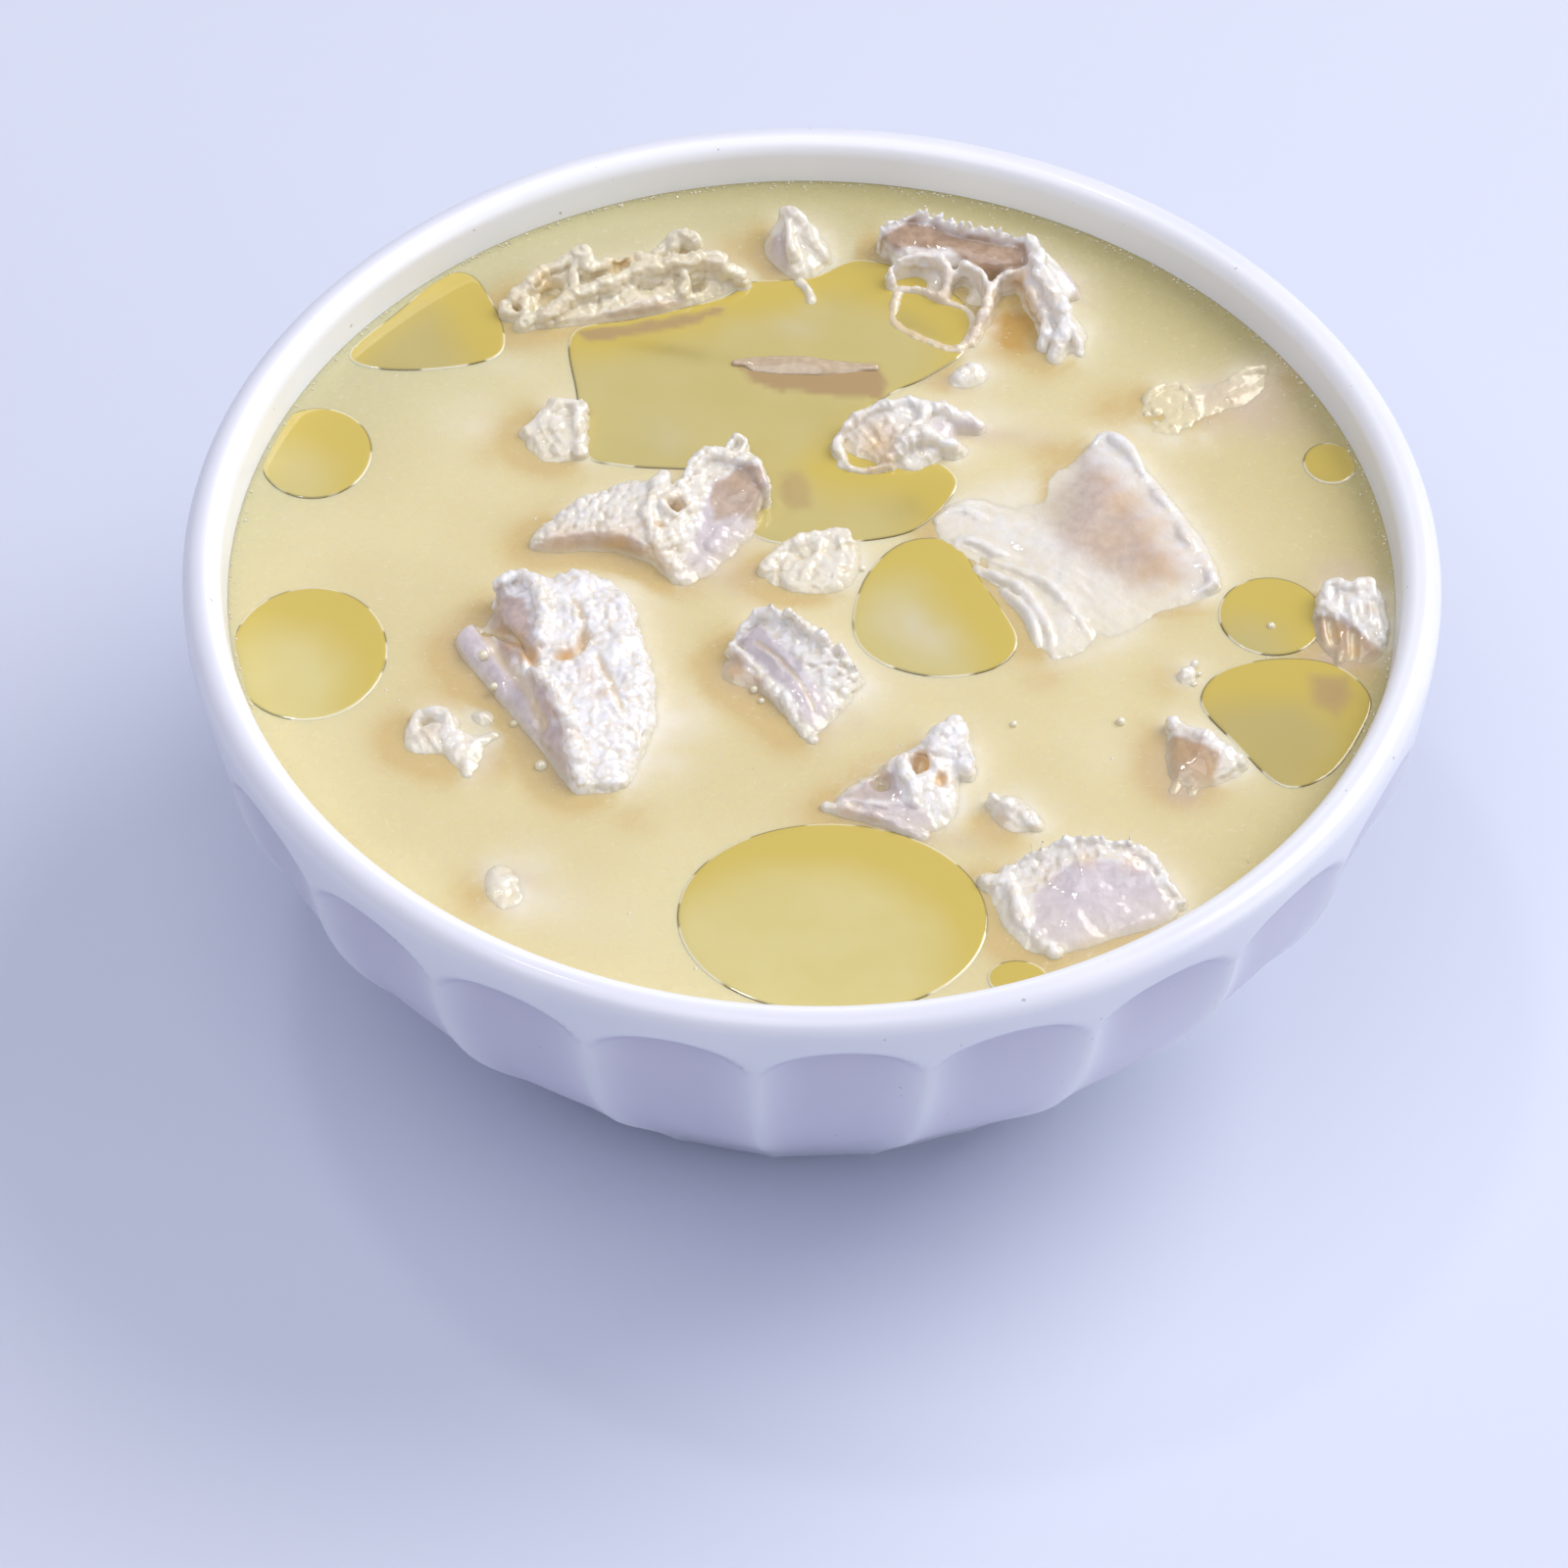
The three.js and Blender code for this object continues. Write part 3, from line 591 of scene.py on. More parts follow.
form(3, knobs=0.2, creamy=0.12, ridges=[
    (0.5, [(9.5, 50.5, 0.9), (9.7, 52.4, 2.3), (12.5, 53.2, 3), (15.3, 52.6, 3), (16.5, 51.2, 2.3)]),
    (0.45, [(16.5, 51.2, 2.3), (16.3, 49.6, 1.4), (15.6, 48.4, 0.8)]),
    (0.55, [(17, 51, 2.2), (18.6, 51.8, 3), (20.8, 50, 2.9), (21.6, 47, 2.3), (21, 44.5, 1.4)]),
    (0.5, [(21, 44.5, 1.4), (19.9, 42, 0.6), (19.3, 40.6, 0.2)]),
    (1.1, [(26.8, 54.6, 4.1), (28.3, 49, 3.9), (30.4, 43.3, 2.8), (30.6, 40.2, 1.6), (29.6, 38.2, 0.1)]),
    (0.8, [(25.8, 50.5, 2.9), (27.4, 46.5, 2.4), (28.6, 42.5, 1.4), (28.4, 40, 0.4)]),
    (0.55, [(30.8, 42.4, 2.8), (32.4, 40.6, 1.5), (33, 39, 0.4)]),
    (0.5, [(21.6, 47.4, 2.1), (23, 50, 2.9), (26, 50.8, 3.4)]),
], loops=[
    (0.32, [(10.2, 49.5, 0.3), (9.8, 44, 0.15), (13, 41.4, 0.1), (17.3, 39.4, 0.12), (19.2, 41.8, 0.2),
        (19, 46, 0.3), (15.6, 48.4, 0.4), (12.5, 49.8, 0.5)]),
], teeth=[
    (0.36, [(8.2, 57.2, 2.4), (11.2, 58.9, 4.2), (14.6, 58.5, 4.4), (18, 56.5, 4.6), (26, 54.8, 4.7)]),
], cuts=[
    (1, [(7.4, 56.8), (11.4, 58.6), (14, 58.2), (18, 55.9), (26, 54.2), (26.2, 51.2), (21, 50.6),
        (16.5, 53.7), (9.5, 54.8)]),
    (0.1, [(30.8, 53.2), (33.6, 50.8), (32.8, 48.4), (31.4, 50)]),
], warm=[
    (24.4, 45.5, 3, 0.9), (25.3, 49.6, 1.3, 0.7), (18.6, 49.2, 1.2, 0.5), (28.6, 45, 1.2, 0.1),
    (14, 43, 7, 0.95),
])
form(4, knobs=0, folds=0.05, grain=1.5, sunk=0, rounding=1, rough=0.2, lift=0.3, creamy=0.9,
    ridges=[(0.2, [(-10, 36.1, 0.3), (-3, 36.3, 0.35), (7.5, 35.7, 0.3)])],
    cuts=[(1, [(-12, 38), (10, 38), (10, 31), (-12, 31)])])
form(5, knobs=0.2, spacing=1, folds=0.12, veil=0.7, sunk=0.95, rough=0.9, creamy=0.95, lift=-0.25,
    soft=1.6, ridges=[
    (0.5, [(41, 31, 0.4), (42.9, 33, 0.9), (45.3, 33, 0.9), (46.8, 31, 0.7), (47, 28.8, 0.4)]),
    (0.55, [(51.5, 34.6, 0.6), (53.4, 36, 0.9), (55.6, 36.6, 0.8)]),
], dots=[
    (0.42, [(42.1, 29, 0.5), (44.2, 26.4, 0.4), (46.1, 26.9, 0.4), (51.3, 31.2, 0.5), (49.2, 32, 0.6)]),
    (0.3, [(43.6, 30.8, 0.7), (45, 29, 0.5), (44.4, 31.6, 0.8), (48.6, 27.4, 0.3), (53.4, 33.4, 0.4)]),
    (0.26, [(41, 28.6, 0.4), (50, 29.2, 0.3), (52.6, 29.6, 0.2), (55.4, 33.8, 0.3), (47.6, 24.9, 0.2)]),
], cuts=[(0.6, [(47, 34), (50, 34.5), (57, 36), (59, 29), (52, 24), (47, 27)])], warm=[
    (41.5, 29, 2.6, 0.5), (44, 28.5, 3.6, 0.4), (46, 24.5, 2.4, 0.3), (52, 28, 3.5, 0.3), (57, 32, 2, 0.4),
])
form(6, knobs=0.45, spacing=1.4, folds=0.45, creamy=0.4,
    ridges=[(0.8, [(-35, 23, 0.4), (-32, 27, 1), (-29, 27, 1.1), (-28.8, 23, 0.9), (-28.8, 19.5, 0.4)])],
    warm=[(-35.8, 20.5, 1.6, 0.4)])
form(7, knobs=0.25, folds=0.4, rough=0.7, ridges=[
    (0.65, [(3.3, 19, 0.4), (2.8, 22, 0.9), (4.6, 24.6, 1.8), (8, 26.3, 2.8), (12, 26.9, 3.2)]),
    (0.8, [(12, 26.9, 3.1), (16, 26, 2.7), (20, 25.4, 0.8)]),
    (0.9, [(9.5, 18.8, 1.1), (12.5, 21.6, 2.7), (15.5, 21.4, 2), (18, 21.3, 0.1)]),
    (0.4, [(3.3, 18.8, 0.3), (6, 17.6, 0.5), (9.3, 18.3, 0.9)]),
    (0.6, [(12, 23, 2.6), (13.5, 24.8, 2.9), (13, 26.4, 3.1)]),
], cuts=[(0.05, [(14.5, 24.8), (21, 25.2), (20.5, 22), (15, 22.4)])], warm=[
    (7.6, 21.5, 2.6, 0.85), (7.5, 18.6, 2.2, 1), (5, 22, 2, 0.3),
])
form(8, knobs=0.06, folds=0.1, grain=0.9, veil=0.8, sunk=0.72, uneven=0.15, rough=0.4, lift=-0.15,
    creamy=0.1, taper=0.4, soft=2.2, ridges=[
    (0.9, [(34.2, 22.2, 1), (35.8, 23.4, 1.5), (38.3, 20.7, 1.6), (40.4, 16.4, 1.5)]),
    (0.9, [(41.1, 14.5, 1.4), (42.5, 11.9, 1.5), (43.3, 10.1, 1.3)]),
    (0.9, [(43.9, 8.4, 1.4), (45.5, 5.4, 1.5), (46.1, 3.6, 1.3)]),
    (0.85, [(46.9, 1.5, 1.3), (48, -0.7, 1.1), (46.6, -1.8, 0.8)]),
    (0.75, [(15.2, 9.4, 0.3), (17.2, 11, 0.6), (19.2, 10.6, 0.6), (21.5, 8.9, 0.4), (24, 8.2, 0)]),
    (0.5, [(16.4, 11.6, 0.3), (19.5, 12.6, 0.4), (22.5, 11.2, 0.2), (25, 10.6, 0)]),
    (0.7, [(17.2, 6.2, 0.4), (19.5, 5.8, 0.6), (22.5, 4, 0.5), (26.5, 3.1, 0)]),
    (0.5, [(18.5, 8.2, 0.3), (22, 6.6, 0.4), (26, 5.8, 0)]),
    (0.75, [(20, 1.4, 0.4), (22.5, 0, 0.6), (25, -2, 0.6), (27.8, -7.3, 0.5), (29, -12.6, 0)]),
    (0.7, [(21.6, 2.6, 0.4), (25, 1, 0.6), (28.6, -1.4, 0.6), (31.4, -5.8, 0.5), (33.4, -9.6, 0)]),
    (0.55, [(23, -2, 0.4), (25.4, -5, 0.5), (26.6, -8, 0.5), (27, -11, 0.1)]),
    (0.55, [(26, 2.8, 0.3), (30, 0.6, 0.4), (33, -2.4, 0.4), (35.6, -7, 0)]),
    (0.4, [(30, 3, 0.2), (34, 0, 0.3), (37, -4, 0)]),
], cuts=[(0.5, [(27, 12), (33, 20), (37, 16), (41, 7), (44, 0), (38, -2), (33, 2), (29, 6)])], warm=[
    (31, 20.5, 2, 0.4), (38, 12, 3, 0.5), (41, 7, 3, 0.5), (36, 16, 2, 0.3), (42, 1, 4, 0.5),
    (36, 6, 4, 0.3),
])
form(9, knobs=0.5, spacing=1, folds=0.05, creamy=0.3, rough=0.8, ridges=[
    (0.9, [(-15.8, 10.6, 3.4), (-13.6, 15.2, 4.2), (-11, 16.1, 4.5), (-7.3, 14.3, 4.2), (-6, 12, 3.6)]),
    (0.4, [(-10.6, 17, 4.3), (-9.7, 18.3, 4.9), (-8.5, 18, 4.8), (-8.8, 16.6, 4.4)]),
    (1.3, [(-19.2, 3.8, 1.9), (-17.9, 1.6, 1.4), (-16.8, 0, 0.7), (-16.2, -1, 0.1)]),
    (0.9, [(-18.2, 12.6, 3.8), (-19.3, 9, 3.6), (-19.9, 6, 3), (-18.8, 3.6, 2.3)]),
    (1.7, [(-15.2, -0.2, -1), (-12.6, 2.2, -0.9), (-10, 5.5, -0.7), (-8, 8.5, -0.2)]),
    (1.5, [(-14.5, 2.5, 0), (-12, 4.5, 0.2), (-10, 7.5, 0.6)]),
], loops=[
    (0.6, [(-14.9, 8, 3.4), (-16.5, 9.7, 3.7), (-18.1, 8.2, 3.6), (-16.6, 6.4, 3.2)]),
    (0.5, [(-17.3, 4.8, 2.7), (-18.6, 6, 3), (-19.7, 4.9, 2.8), (-18.6, 3.6, 2.4)]),
], cuts=[
    (0.6, [(-35.5, 3.1), (-31.5, 3.9), (-26.5, 4.8), (-21, 2.9), (-18, 0), (-17, -2), (-25, -2),
        (-34, 0.5)]),
    (0, [(-12.4, 11.3), (-6.4, 13.4), (-4, 9), (-8, 1.5), (-12, -3), (-15.4, -1.6), (-14, 6)]),
    (0.8, [(-12.4, 11.3), (-9.5, 14.2), (-6.3, 13.6), (-6, 10.5), (-8.6, 7.6), (-12, 6.4)]),
], warm=[
    (-30, 2.6, 2.8, 0.5), (-24, 2, 3, 0.7), (-19.4, 0.6, 2, 0.7), (-16.5, 8, 0.9, 1),
    (-18.5, 4.8, 0.65, 0.9), (-9, 11.8, 1.6, 0.2), (-13, 13, 1, 0.25),
])
form(10, knobs=0.45, spacing=1.3, folds=0.3, creamy=0.4, ridges=[
    (0.8, [(-5.5, 0.5, 0.3), (-3.4, 3.2, 0.9), (0, 5, 1.2), (3, 6, 1.2), (5, 4.6, 0.9)]),
    (0.7, [(-1, -0.5, 0.4), (0.5, 2.5, 1), (1, 5, 1.2)]),
    (0.7, [(3.2, -0.5, 0.4), (3.4, 2.5, 0.9), (3.5, 5, 1.1)]),
])
form(11, knobs=0.42, spacing=0.95, folds=0.35, grain=0.75, rough=1.7, creamy=0.04, ridges=[
    (1, [(-37.2, -6.2, 3.5), (-36, -5.2, 4), (-34.3, -5, 4), (-32.4, -6.7, 4.1), (-31.6, -10, 4.1)]),
    (0.9, [(-31.6, -10, 4.1), (-31.4, -13, 4.1), (-31.6, -15.5, 4)]),
    (0.9, [(-32.2, -19.8, 4.1), (-29.6, -23.5, 4), (-27.6, -28.5, 3.2), (-26.2, -34.5, 1)]),
], cracks=[
    (0.6, 1.2, [(-38.6, -10.6), (-36.7, -12.1), (-34.9, -14.4), (-33, -16.7), (-32.3, -19.4)]),
    (0.6, 1.4, [(-29.6, -17.4), (-28.4, -17.2), (-27.2, -16), (-26.6, -13.6)]),
    (0.4, 0.4, [(-28, -8.6), (-27, -11.5), (-26.6, -13.6)]),
    (0.4, 0.35, [(-25, -17.4), (-23.6, -20.5), (-22, -24.5)]),
    (0.6, 0.4, [(-39.3, -10), (-36.8, -15.5), (-33.6, -21), (-31, -27)]),
], cuts=[
    (0.6, [(-38.8, -9), (-37.3, -7), (-34, -8), (-33, -12), (-32.6, -17.6), (-36, -17)]),
    (0.08, [(-44.5, -12), (-40.5, -8), (-38.7, -9.6), (-35.5, -17), (-32, -24), (-27.6, -37), (-31, -39),
        (-38, -27)]),
    (0.45, [(-33.2, -20.3), (-31, -22.6), (-28.6, -29), (-26.8, -37), (-28.4, -38), (-31.8, -27)]),
], warm=[
    (-37.6, -11.4, 1.1, 0.5), (-35, -14.2, 1.2, 0.7), (-33, -17, 1.3, 0.75), (-28.4, -17, 1.2, 0.7),
    (-26.8, -14.8, 0.9, 0.5), (-29.8, -24.8, 1.2, 0.25), (-27.3, -30, 1.3, 0.25), (-29.4, -6.5, 1.3, 0.08),
    (-26, -20.3, 1.4, 0.25), (-24.3, -23, 1.2, 0.25), (-32.6, -8.4, 1, 0.12), (-25, -9, 1.4, 0.05),
])
form(12, knobs=0.3, spacing=1.3, ridges=[
    (0.8, [(-46, -27.2, 0), (-45.6, -24.8, 0.5), (-44, -24.2, 0.9), (-42.3, -25.2, 0.9), (-41.8, -27, 0.4)]),
    (0.5, [(-37, -27, 0.1), (-39, -28, 0.3), (-40.3, -28.6, 0.5), (-40, -31, 0.2), (-39.5, -33, 0)]),
    (0.4, [(-40.3, -28.6, 0.5), (-41.6, -28.3, 0.3)]),
], warm=[(-44, -27, 1.4, 0.3)])
form(13, knobs=0.15, spacing=1.5, sunk=0.85)
form(14, knobs=0.5, spacing=1.1, ridges=[
    (0.55, [(-9.2, -13, 1.5), (-5.8, -17.3, 0.9), (-2.6, -21.3, 0.5), (0.4, -26.6, 0.1)]),
    (0.6, [(-8.4, -12.4, 1.9), (-7.2, -10.6, 3.1), (-6, -9.8, 3.7), (-4.6, -10.4, 3.8)]),
], teeth=[(0.4, [(-5.5, -9.8, 4.3), (-2, -11.8, 4.5), (2, -14.8, 3.8), (5.4, -17.3, 2.2)])],
    cracks=[(0.25, 0.15, [(-6.4, -13.6), (-3.4, -16.4), (-1, -19.4), (0.6, -22.6)])], cuts=[
    (0, [(-8.8, -12.6), (-6.8, -11.2), (-4.2, -13.6), (-1, -17), (1.2, -20.4), (2.2, -24), (1.2, -27.5),
        (-2, -21.2), (-5.4, -17.2)]),
    (0.7, [(-11.5, -18), (-9.4, -13.8), (-6, -17.8), (-3, -22), (-6.5, -23)]),
], warm=[(-8.8, -16.6, 1.3, 0.6), (-7, -19, 1.4, 0.35)])
form(15, knobs=0.35, creamy=0.05, ridges=[
    (0.5, [(2.2, -37, 0.5), (5, -38, 0.7), (9, -39.2, 0.7), (13.5, -41, 0.2)]),
    (0.35, [(3.5, -36.4, 0.9), (7, -37, 1.2), (11, -38, 1)]),
    (0.75, [(11, -31.5, 3.1), (11.4, -34, 2.6), (12.4, -36.8, 1.3)]),
    (1.15, [(14.8, -30.2, 2.2), (15.6, -27.8, 2.8), (17, -26.9, 2.8)]),
    (1.05, [(17, -27.6, 2.7), (17.9, -30.2, 2.2), (18.4, -31.8, 1.1)]),
], cracks=[
    (0.7, 0.9, [(7.8, -32.4), (8.2, -31.9)]),
    (0.7, 0.9, [(13, -31), (13, -32.4)]),
    (0.5, 0.6, [(15.4, -33.6), (15.4, -34.4)]),
], cuts=[
    (0.4, [(3, -36.6), (6.5, -34), (10.2, -32.6), (10.4, -36.4), (6.5, -37.2)]),
    (0.1, [(4, -38.2), (9, -40), (14.5, -42.5), (14.5, -38.6), (11, -37.4), (7, -37.4)]),
], warm=[
    (8, -32.2, 1.1, 1), (13, -31.7, 1.2, 1), (15.4, -34, 1, 0.9), (3.8, -39.6, 2, 0.8), (7, -40.4, 1.6, 0.4),
])
form(16, ridges=[(0.8, [(21.4, -36, 0.9), (24, -37.6, 1), (26.4, -39.5, 0.4)])],
    cuts=[(0.5, [(19.5, -37), (22.6, -38.4), (25, -42), (20, -42)])], warm=[(21.8, -39, 1.2, 0.5)])
form(17, knobs=0.35, spacing=1.1, folds=0.15, uneven=0.25, ridges=[
    (0.55, [(23.4, -46.8, 1.3), (27, -45.2, 2.4), (30.5, -44.5, 3)]),
    (0.5, [(30.5, -44.5, 3), (34.5, -45, 3.1), (38.5, -45.8, 2.8), (42.8, -51, 0.8)]),
    (0.9, [(20.6, -48.2, 0.3), (22.3, -48.6, 0.6), (23, -46.8, 0.9)]),
    (0.75, [(23, -48, 0.9), (23.8, -51, 1), (24.8, -54.5, 0.7), (28.2, -58.4, 0.1)]),
], teeth=[
    (0.32, [(25, -46, 2.4), (30.5, -44.1, 3.5), (34.5, -44.7, 3.6), (38.5, -45.4, 3.2), (41, -48, 1.9)]),
], cuts=[
    (0, [(26, -56), (25.6, -50.5), (28.5, -47.8), (33, -47), (38.3, -47.8), (42.4, -52), (38.5, -56),
        (31, -58.5)]),
], warm=[(27.5, -48, 1.3, 0.3), (32, -46.7, 1.3, 0.35), (37, -47, 1.3, 0.35), (32.5, -58, 1.3, 0.9)])
form(18, knobs=0.3, folds=0.3, grain=-0.5, ridges=[
    (0.9, [(42.8, -23.9, 1.1), (45, -25.8, 1.6), (48.3, -27.7, 1.4), (50.2, -29.4, 0.5)]),
    (0.35, [(45.4, -26.8, 1.2), (44, -30, 0.6), (42.2, -33.5, 0)]),
    (0.35, [(47.6, -28.3, 1.1), (46, -31, 0.5), (44.4, -34, 0)]),
], cuts=[(1, [(41.5, -25.4), (44, -26.6), (47.8, -28.9), (47, -35), (41, -36)])], warm=[
    (43.5, -28.5, 2, 0.5), (46, -31, 1.6, 0.4),
])
form(19, knobs=0.25, folds=0.5, grain=0.1, ridges=[
    (0.8, [(60.8, -3.4, 1.3), (62.6, -1.9, 2), (64.6, -2.8, 2.2), (66.4, -1.9, 2.4), (67.2, -4, 2)]),
    (0.7, [(61, -4.6, 1.3), (62.8, -6.2, 1.5), (65, -8, 1.5), (67.2, -9.6, 1.1)]),
    (0.3, [(63.6, -8, 1.2), (63, -10.5, 0.8), (62.6, -12.6, 0.4)]),
], cracks=[(0.5, 0.6, [(61.5, -7), (62, -10)]), (0.45, 0.5, [(64.3, -9), (64.4, -13)])],
    cuts=[(1, [(59.5, -5.6), (61.2, -6.2), (65, -9), (68, -11), (67.5, -15), (59, -15)])], warm=[
    (62.2, -9, 0.9, 0.8), (64.3, -11.5, 0.9, 0.9), (66.5, -6, 0.7, 0.5),
])
form(20, knobs=0.35, spacing=1.2, folds=0.35, veil=0.9, sunk=0.85)
form(21, knobs=0.3, spacing=1.4, sunk=0.7)
form(22, knobs=0.15, folds=0.2, sunk=0.85, rough=1.5, lift=-0.2, dots=[
    (0.4, [(45.4, -14, 1.1), (45.3, -16.6, 0.4)]),
    (0.3, [(44, -15, 0.9), (46, -15.2, 0.6)]),
])

# Soft patches of what lies just under the surface: (x, y, half length, half width, bearing of its
# length, strength), as pale tripe and as pinkish cut faces.
PALE_UNDER = [
    (24, 3, 9, 8, 0.8, 0.35), (33, -4, 7, 5, 0.5, 0.3), (-16, -24, 4, 6, 0.2, 0.5),
    (-17, -31, 3, 4, 0.3, 0.35), (-42, 25, 5, 4, 0.9, 0.35), (-40, 36, 7, 2.5, 1.2, 0.25),
    (-30, -52, 9, 4, 1.3, 0.3), (-31, -46, 3, 3, 0, 0.3), (7, -19, 4, 3, 0.6, 0.35),
    (24, 27, 7, 3, 1.2, 0.3), (16, -36, 4, 3, 1.2, 0.3), (-7, -4, 4, 3, 0.5, 0.3),
    (39, -27, 4, 7, 0.1, 0.25), (-23, -3, 5, 2.5, 1.4, 0.4), (12, -13, 5, 3, 0.9, 0.3),
]
FLESH_UNDER = [
    (43.5, -34, 2.6, 1.6, 0.5, 0.55), (40, -30, 3, 2.2, 0.2, 0.25), (5, -23, 3, 2, 0.5, 0.25),
    (55, 29, 6, 4.5, 1.2, 0.5), (23, 24.5, 5, 1.6, 1.4, 0.4), (-9, -1, 2.5, 3, 0.2, 0.3),
    (14.5, 34, 5, 1.2, 1.4, 0.4), (63, 2, 3, 3.5, 0.3, 0.6), (62, -12.5, 1.6, 2.6, 0, 0.7),
    (-33, -49, 2, 3, 0, 0.25), (17.5, -41.5, 3, 1.4, 1.2, 0.35),
]
# The same under the oil.
PALE_IN_OIL = [
    (13, -9, 5.5, 3.5, 1.0, 0.8), (-3, 43, 3, 2, 1.2, 0.5), (-1, 46, 1.5, 2, 0, 0.4),
    (-18, 23, 4, 3, 0.8, 0.3),
]
# Sharper shapes under the oil: (field, strength, softness of the edge, outline).
SHAPES_IN_OIL = [
    ("flesh", 1, 0.5, [(-10, 35.7), (-1.5, 36), (7.6, 36), (8.8, 33.2), (8, 30.6), (2.2, 30.8), (-3.9, 31.4),
        (-7.8, 32.9)]),
    ("olive", 0.55, 0.4, [(-7, 32.2), (-3.9, 31.2), (2.2, 30.6), (8, 30.2), (8.4, 31.3), (2.5, 31.8),
        (-3.5, 32.2)]),
    ("olive", 0.75, 0.4, [(9.6, 49.7), (10, 43.9), (13.7, 41.7), (17.4, 40), (19.2, 41.7), (19.4, 46),
        (15.5, 48.6), (12, 50)]),
    ("flesh", 0.6, 0.7, [(-4, 17), (-1.6, 17.8), (-0.4, 14.8), (-0.5, 11.4), (-2.9, 10.5), (-4.2, 13.5)]),
    ("olive", 0.5, 0.7, [(-4, 17), (-3, 17.5), (-2.3, 14), (-2.6, 11), (-3.9, 11.6)]),
    ("flesh", 0.9, 0.4, [(-29.9, 41.3), (-22.5, 42.9), (-16.4, 44.7), (-11.3, 47), (-11.5, 45.4),
        (-16.3, 42.8), (-22.4, 40.8), (-28.7, 39.4)]),
    ("flesh", 0.8, 1.2, [(59, -15), (63.4, -15.2), (63.6, -18), (62, -21.4), (59.4, -19.5)]),
]
# Where the oil looks deeper, and how deep each pool looks.
OLIVE_IN_OIL = [(-21, 39, 8, 1.4, 1.35, 0.4), (8, 51, 6, 3, 1.4, 0.35), (14, 13, 4, 4, 0, 0.4)]
OIL_DEPTHS = {
    "oil_01": 0.32, "oil_02": 0.5, "oil_03": 0.12, "oil_06": 0.2,
    "oil_07": 0.75, "oil_08": 0.45, "oil_09": 0.6, "oil_10": 0.4,
}
# Orange patches of fat and shade: (x, y, radius, strength).
WARM_ROUND = [
    (-10.5, 57, 3.2, 0.5), (-4, 49, 3, 0.5), (7, 16.3, 3, 1), (24.4, 43, 4.4, 1.4), (-27, -0.5, 4, 0.35),
    (-42, -20, 5, 0.4), (-37, -31, 3.5, 0.45), (-12.5, -15, 3, 0.4), (3, -40, 2.4, 0.7),
    (21, -39.5, 2.2, 0.4), (37, 30, 4, 0.45), (29, 22, 3.5, 0.4), (-39, 20, 3, 0.3), (27.5, -16, 2.5, 0.35),
    (41, -26, 2.5, 0.3), (58, 36, 3, 0.5), (-20, -39, 3, 0.3), (-38.5, 47.5, 2, 0.4), (-9, 4, 3, 0.3),
]

# ---- Sculpting ----
VOXEL_OF_FORM = 0.55
VOXEL = 0.235
BEAD_STEP = 0.4  # of a ridge's half thickness, from one of its beads to the next
TOOTH_STEP = 0.75
WALL_FOOT = 0.6  # how far a wall goes under the soup
FLARE = 0.45  # how far a side that meets the soup leans out to it
SKIN_SMOOTHING = 3
CUT_SMOOTHNESS = 0.92  # how much of its papillae and folds a cut face lacks
FOLD_LENGTH = 3.2
FOLD_WIDTH = 1.1


def ball(subdivisions):
    """The points and triangles of a ball of radius 1."""
    round_mesh = bmesh.new()
    bmesh.ops.create_icosphere(round_mesh, subdivisions=subdivisions, radius=1)
    points = np.array([v.co for v in round_mesh.verts])
    faces = np.array([[v.index for v in f.verts] for f in round_mesh.faces])
    round_mesh.free()
    return points, faces


BALL = ball(2)
TINY_BALL = ball(1)


def beads(places, radii, each=BALL):
    """Balls in a row as one set of points and triangles."""
    count = len(each[0])
    points = [np.asarray(place) + radius * each[0] for place, radius in zip(places, radii)]
    faces = [each[1] + i * count for i in range(len(places))]
    return np.concatenate(points), np.concatenate(faces)


def ridge_beads(half, points, uneven, seed, closed=False, taper=0):
    """A wall along a curve, from its uneven top down to just under the soup."""
    path = curve_through(points, BEAD_STEP * half, closed)
    sway = np.stack([noise(path, 1.6, seed + 1 + i) for i in range(3)], 1) * [1.3, 1.3, 0.9] * uneven
    narrow = 1 - taper * np.abs(np.linspace(-1, 1, len(path))) ** 1.5
    uneven = half * narrow * (1 + uneven * noise(path, 1.1, seed))
    path = path + sway * half
    rows = [beads(path, uneven)]
    level = path - [0, 0, half]
    standing = level[:, 2] > SOUP_LEVEL - WALL_FOOT
    while standing.any():
        rows.append(beads(level[standing], 1.08 * uneven[standing]))
        level = level - [0, 0, half]
        standing = level[:, 2] > SOUP_LEVEL - WALL_FOOT
    return joined(rows)


def tooth_beads(half, points, seed):
    """A frayed edge: small uneven tips, close together, that lean at random."""
    path = curve_through(points, TOOTH_STEP)
    count = np.stack([np.arange(len(path))] * 3, 1)
    tall = 0.25 + 1.7 * hashed(count, seed) ** 1.5
    size = half * (0.75 + 0.5 * hashed(count, seed + 1))
    lean = np.stack([hashed(count, seed + 2 + i) - 0.5 for i in range(2)], 1) * 0.9
    rows = [beads(path, size * 1.2)]
    for step in (0.35, 0.7, 1):
        place = path + np.column_stack([lean * step, step * tall])
        rows.append(beads(place, size * (1.1 - 0.45 * step)))
    return joined(rows)


def joined(sets):
    """Several sets of points and faces as one."""
    offsets = np.cumsum([0] + [len(points) for points, _ in sets[:-1]])
    points = np.concatenate([points for points, _ in sets])
    return points, [face + offset for (_, faces), offset in zip(sets, offsets) for face in faces]


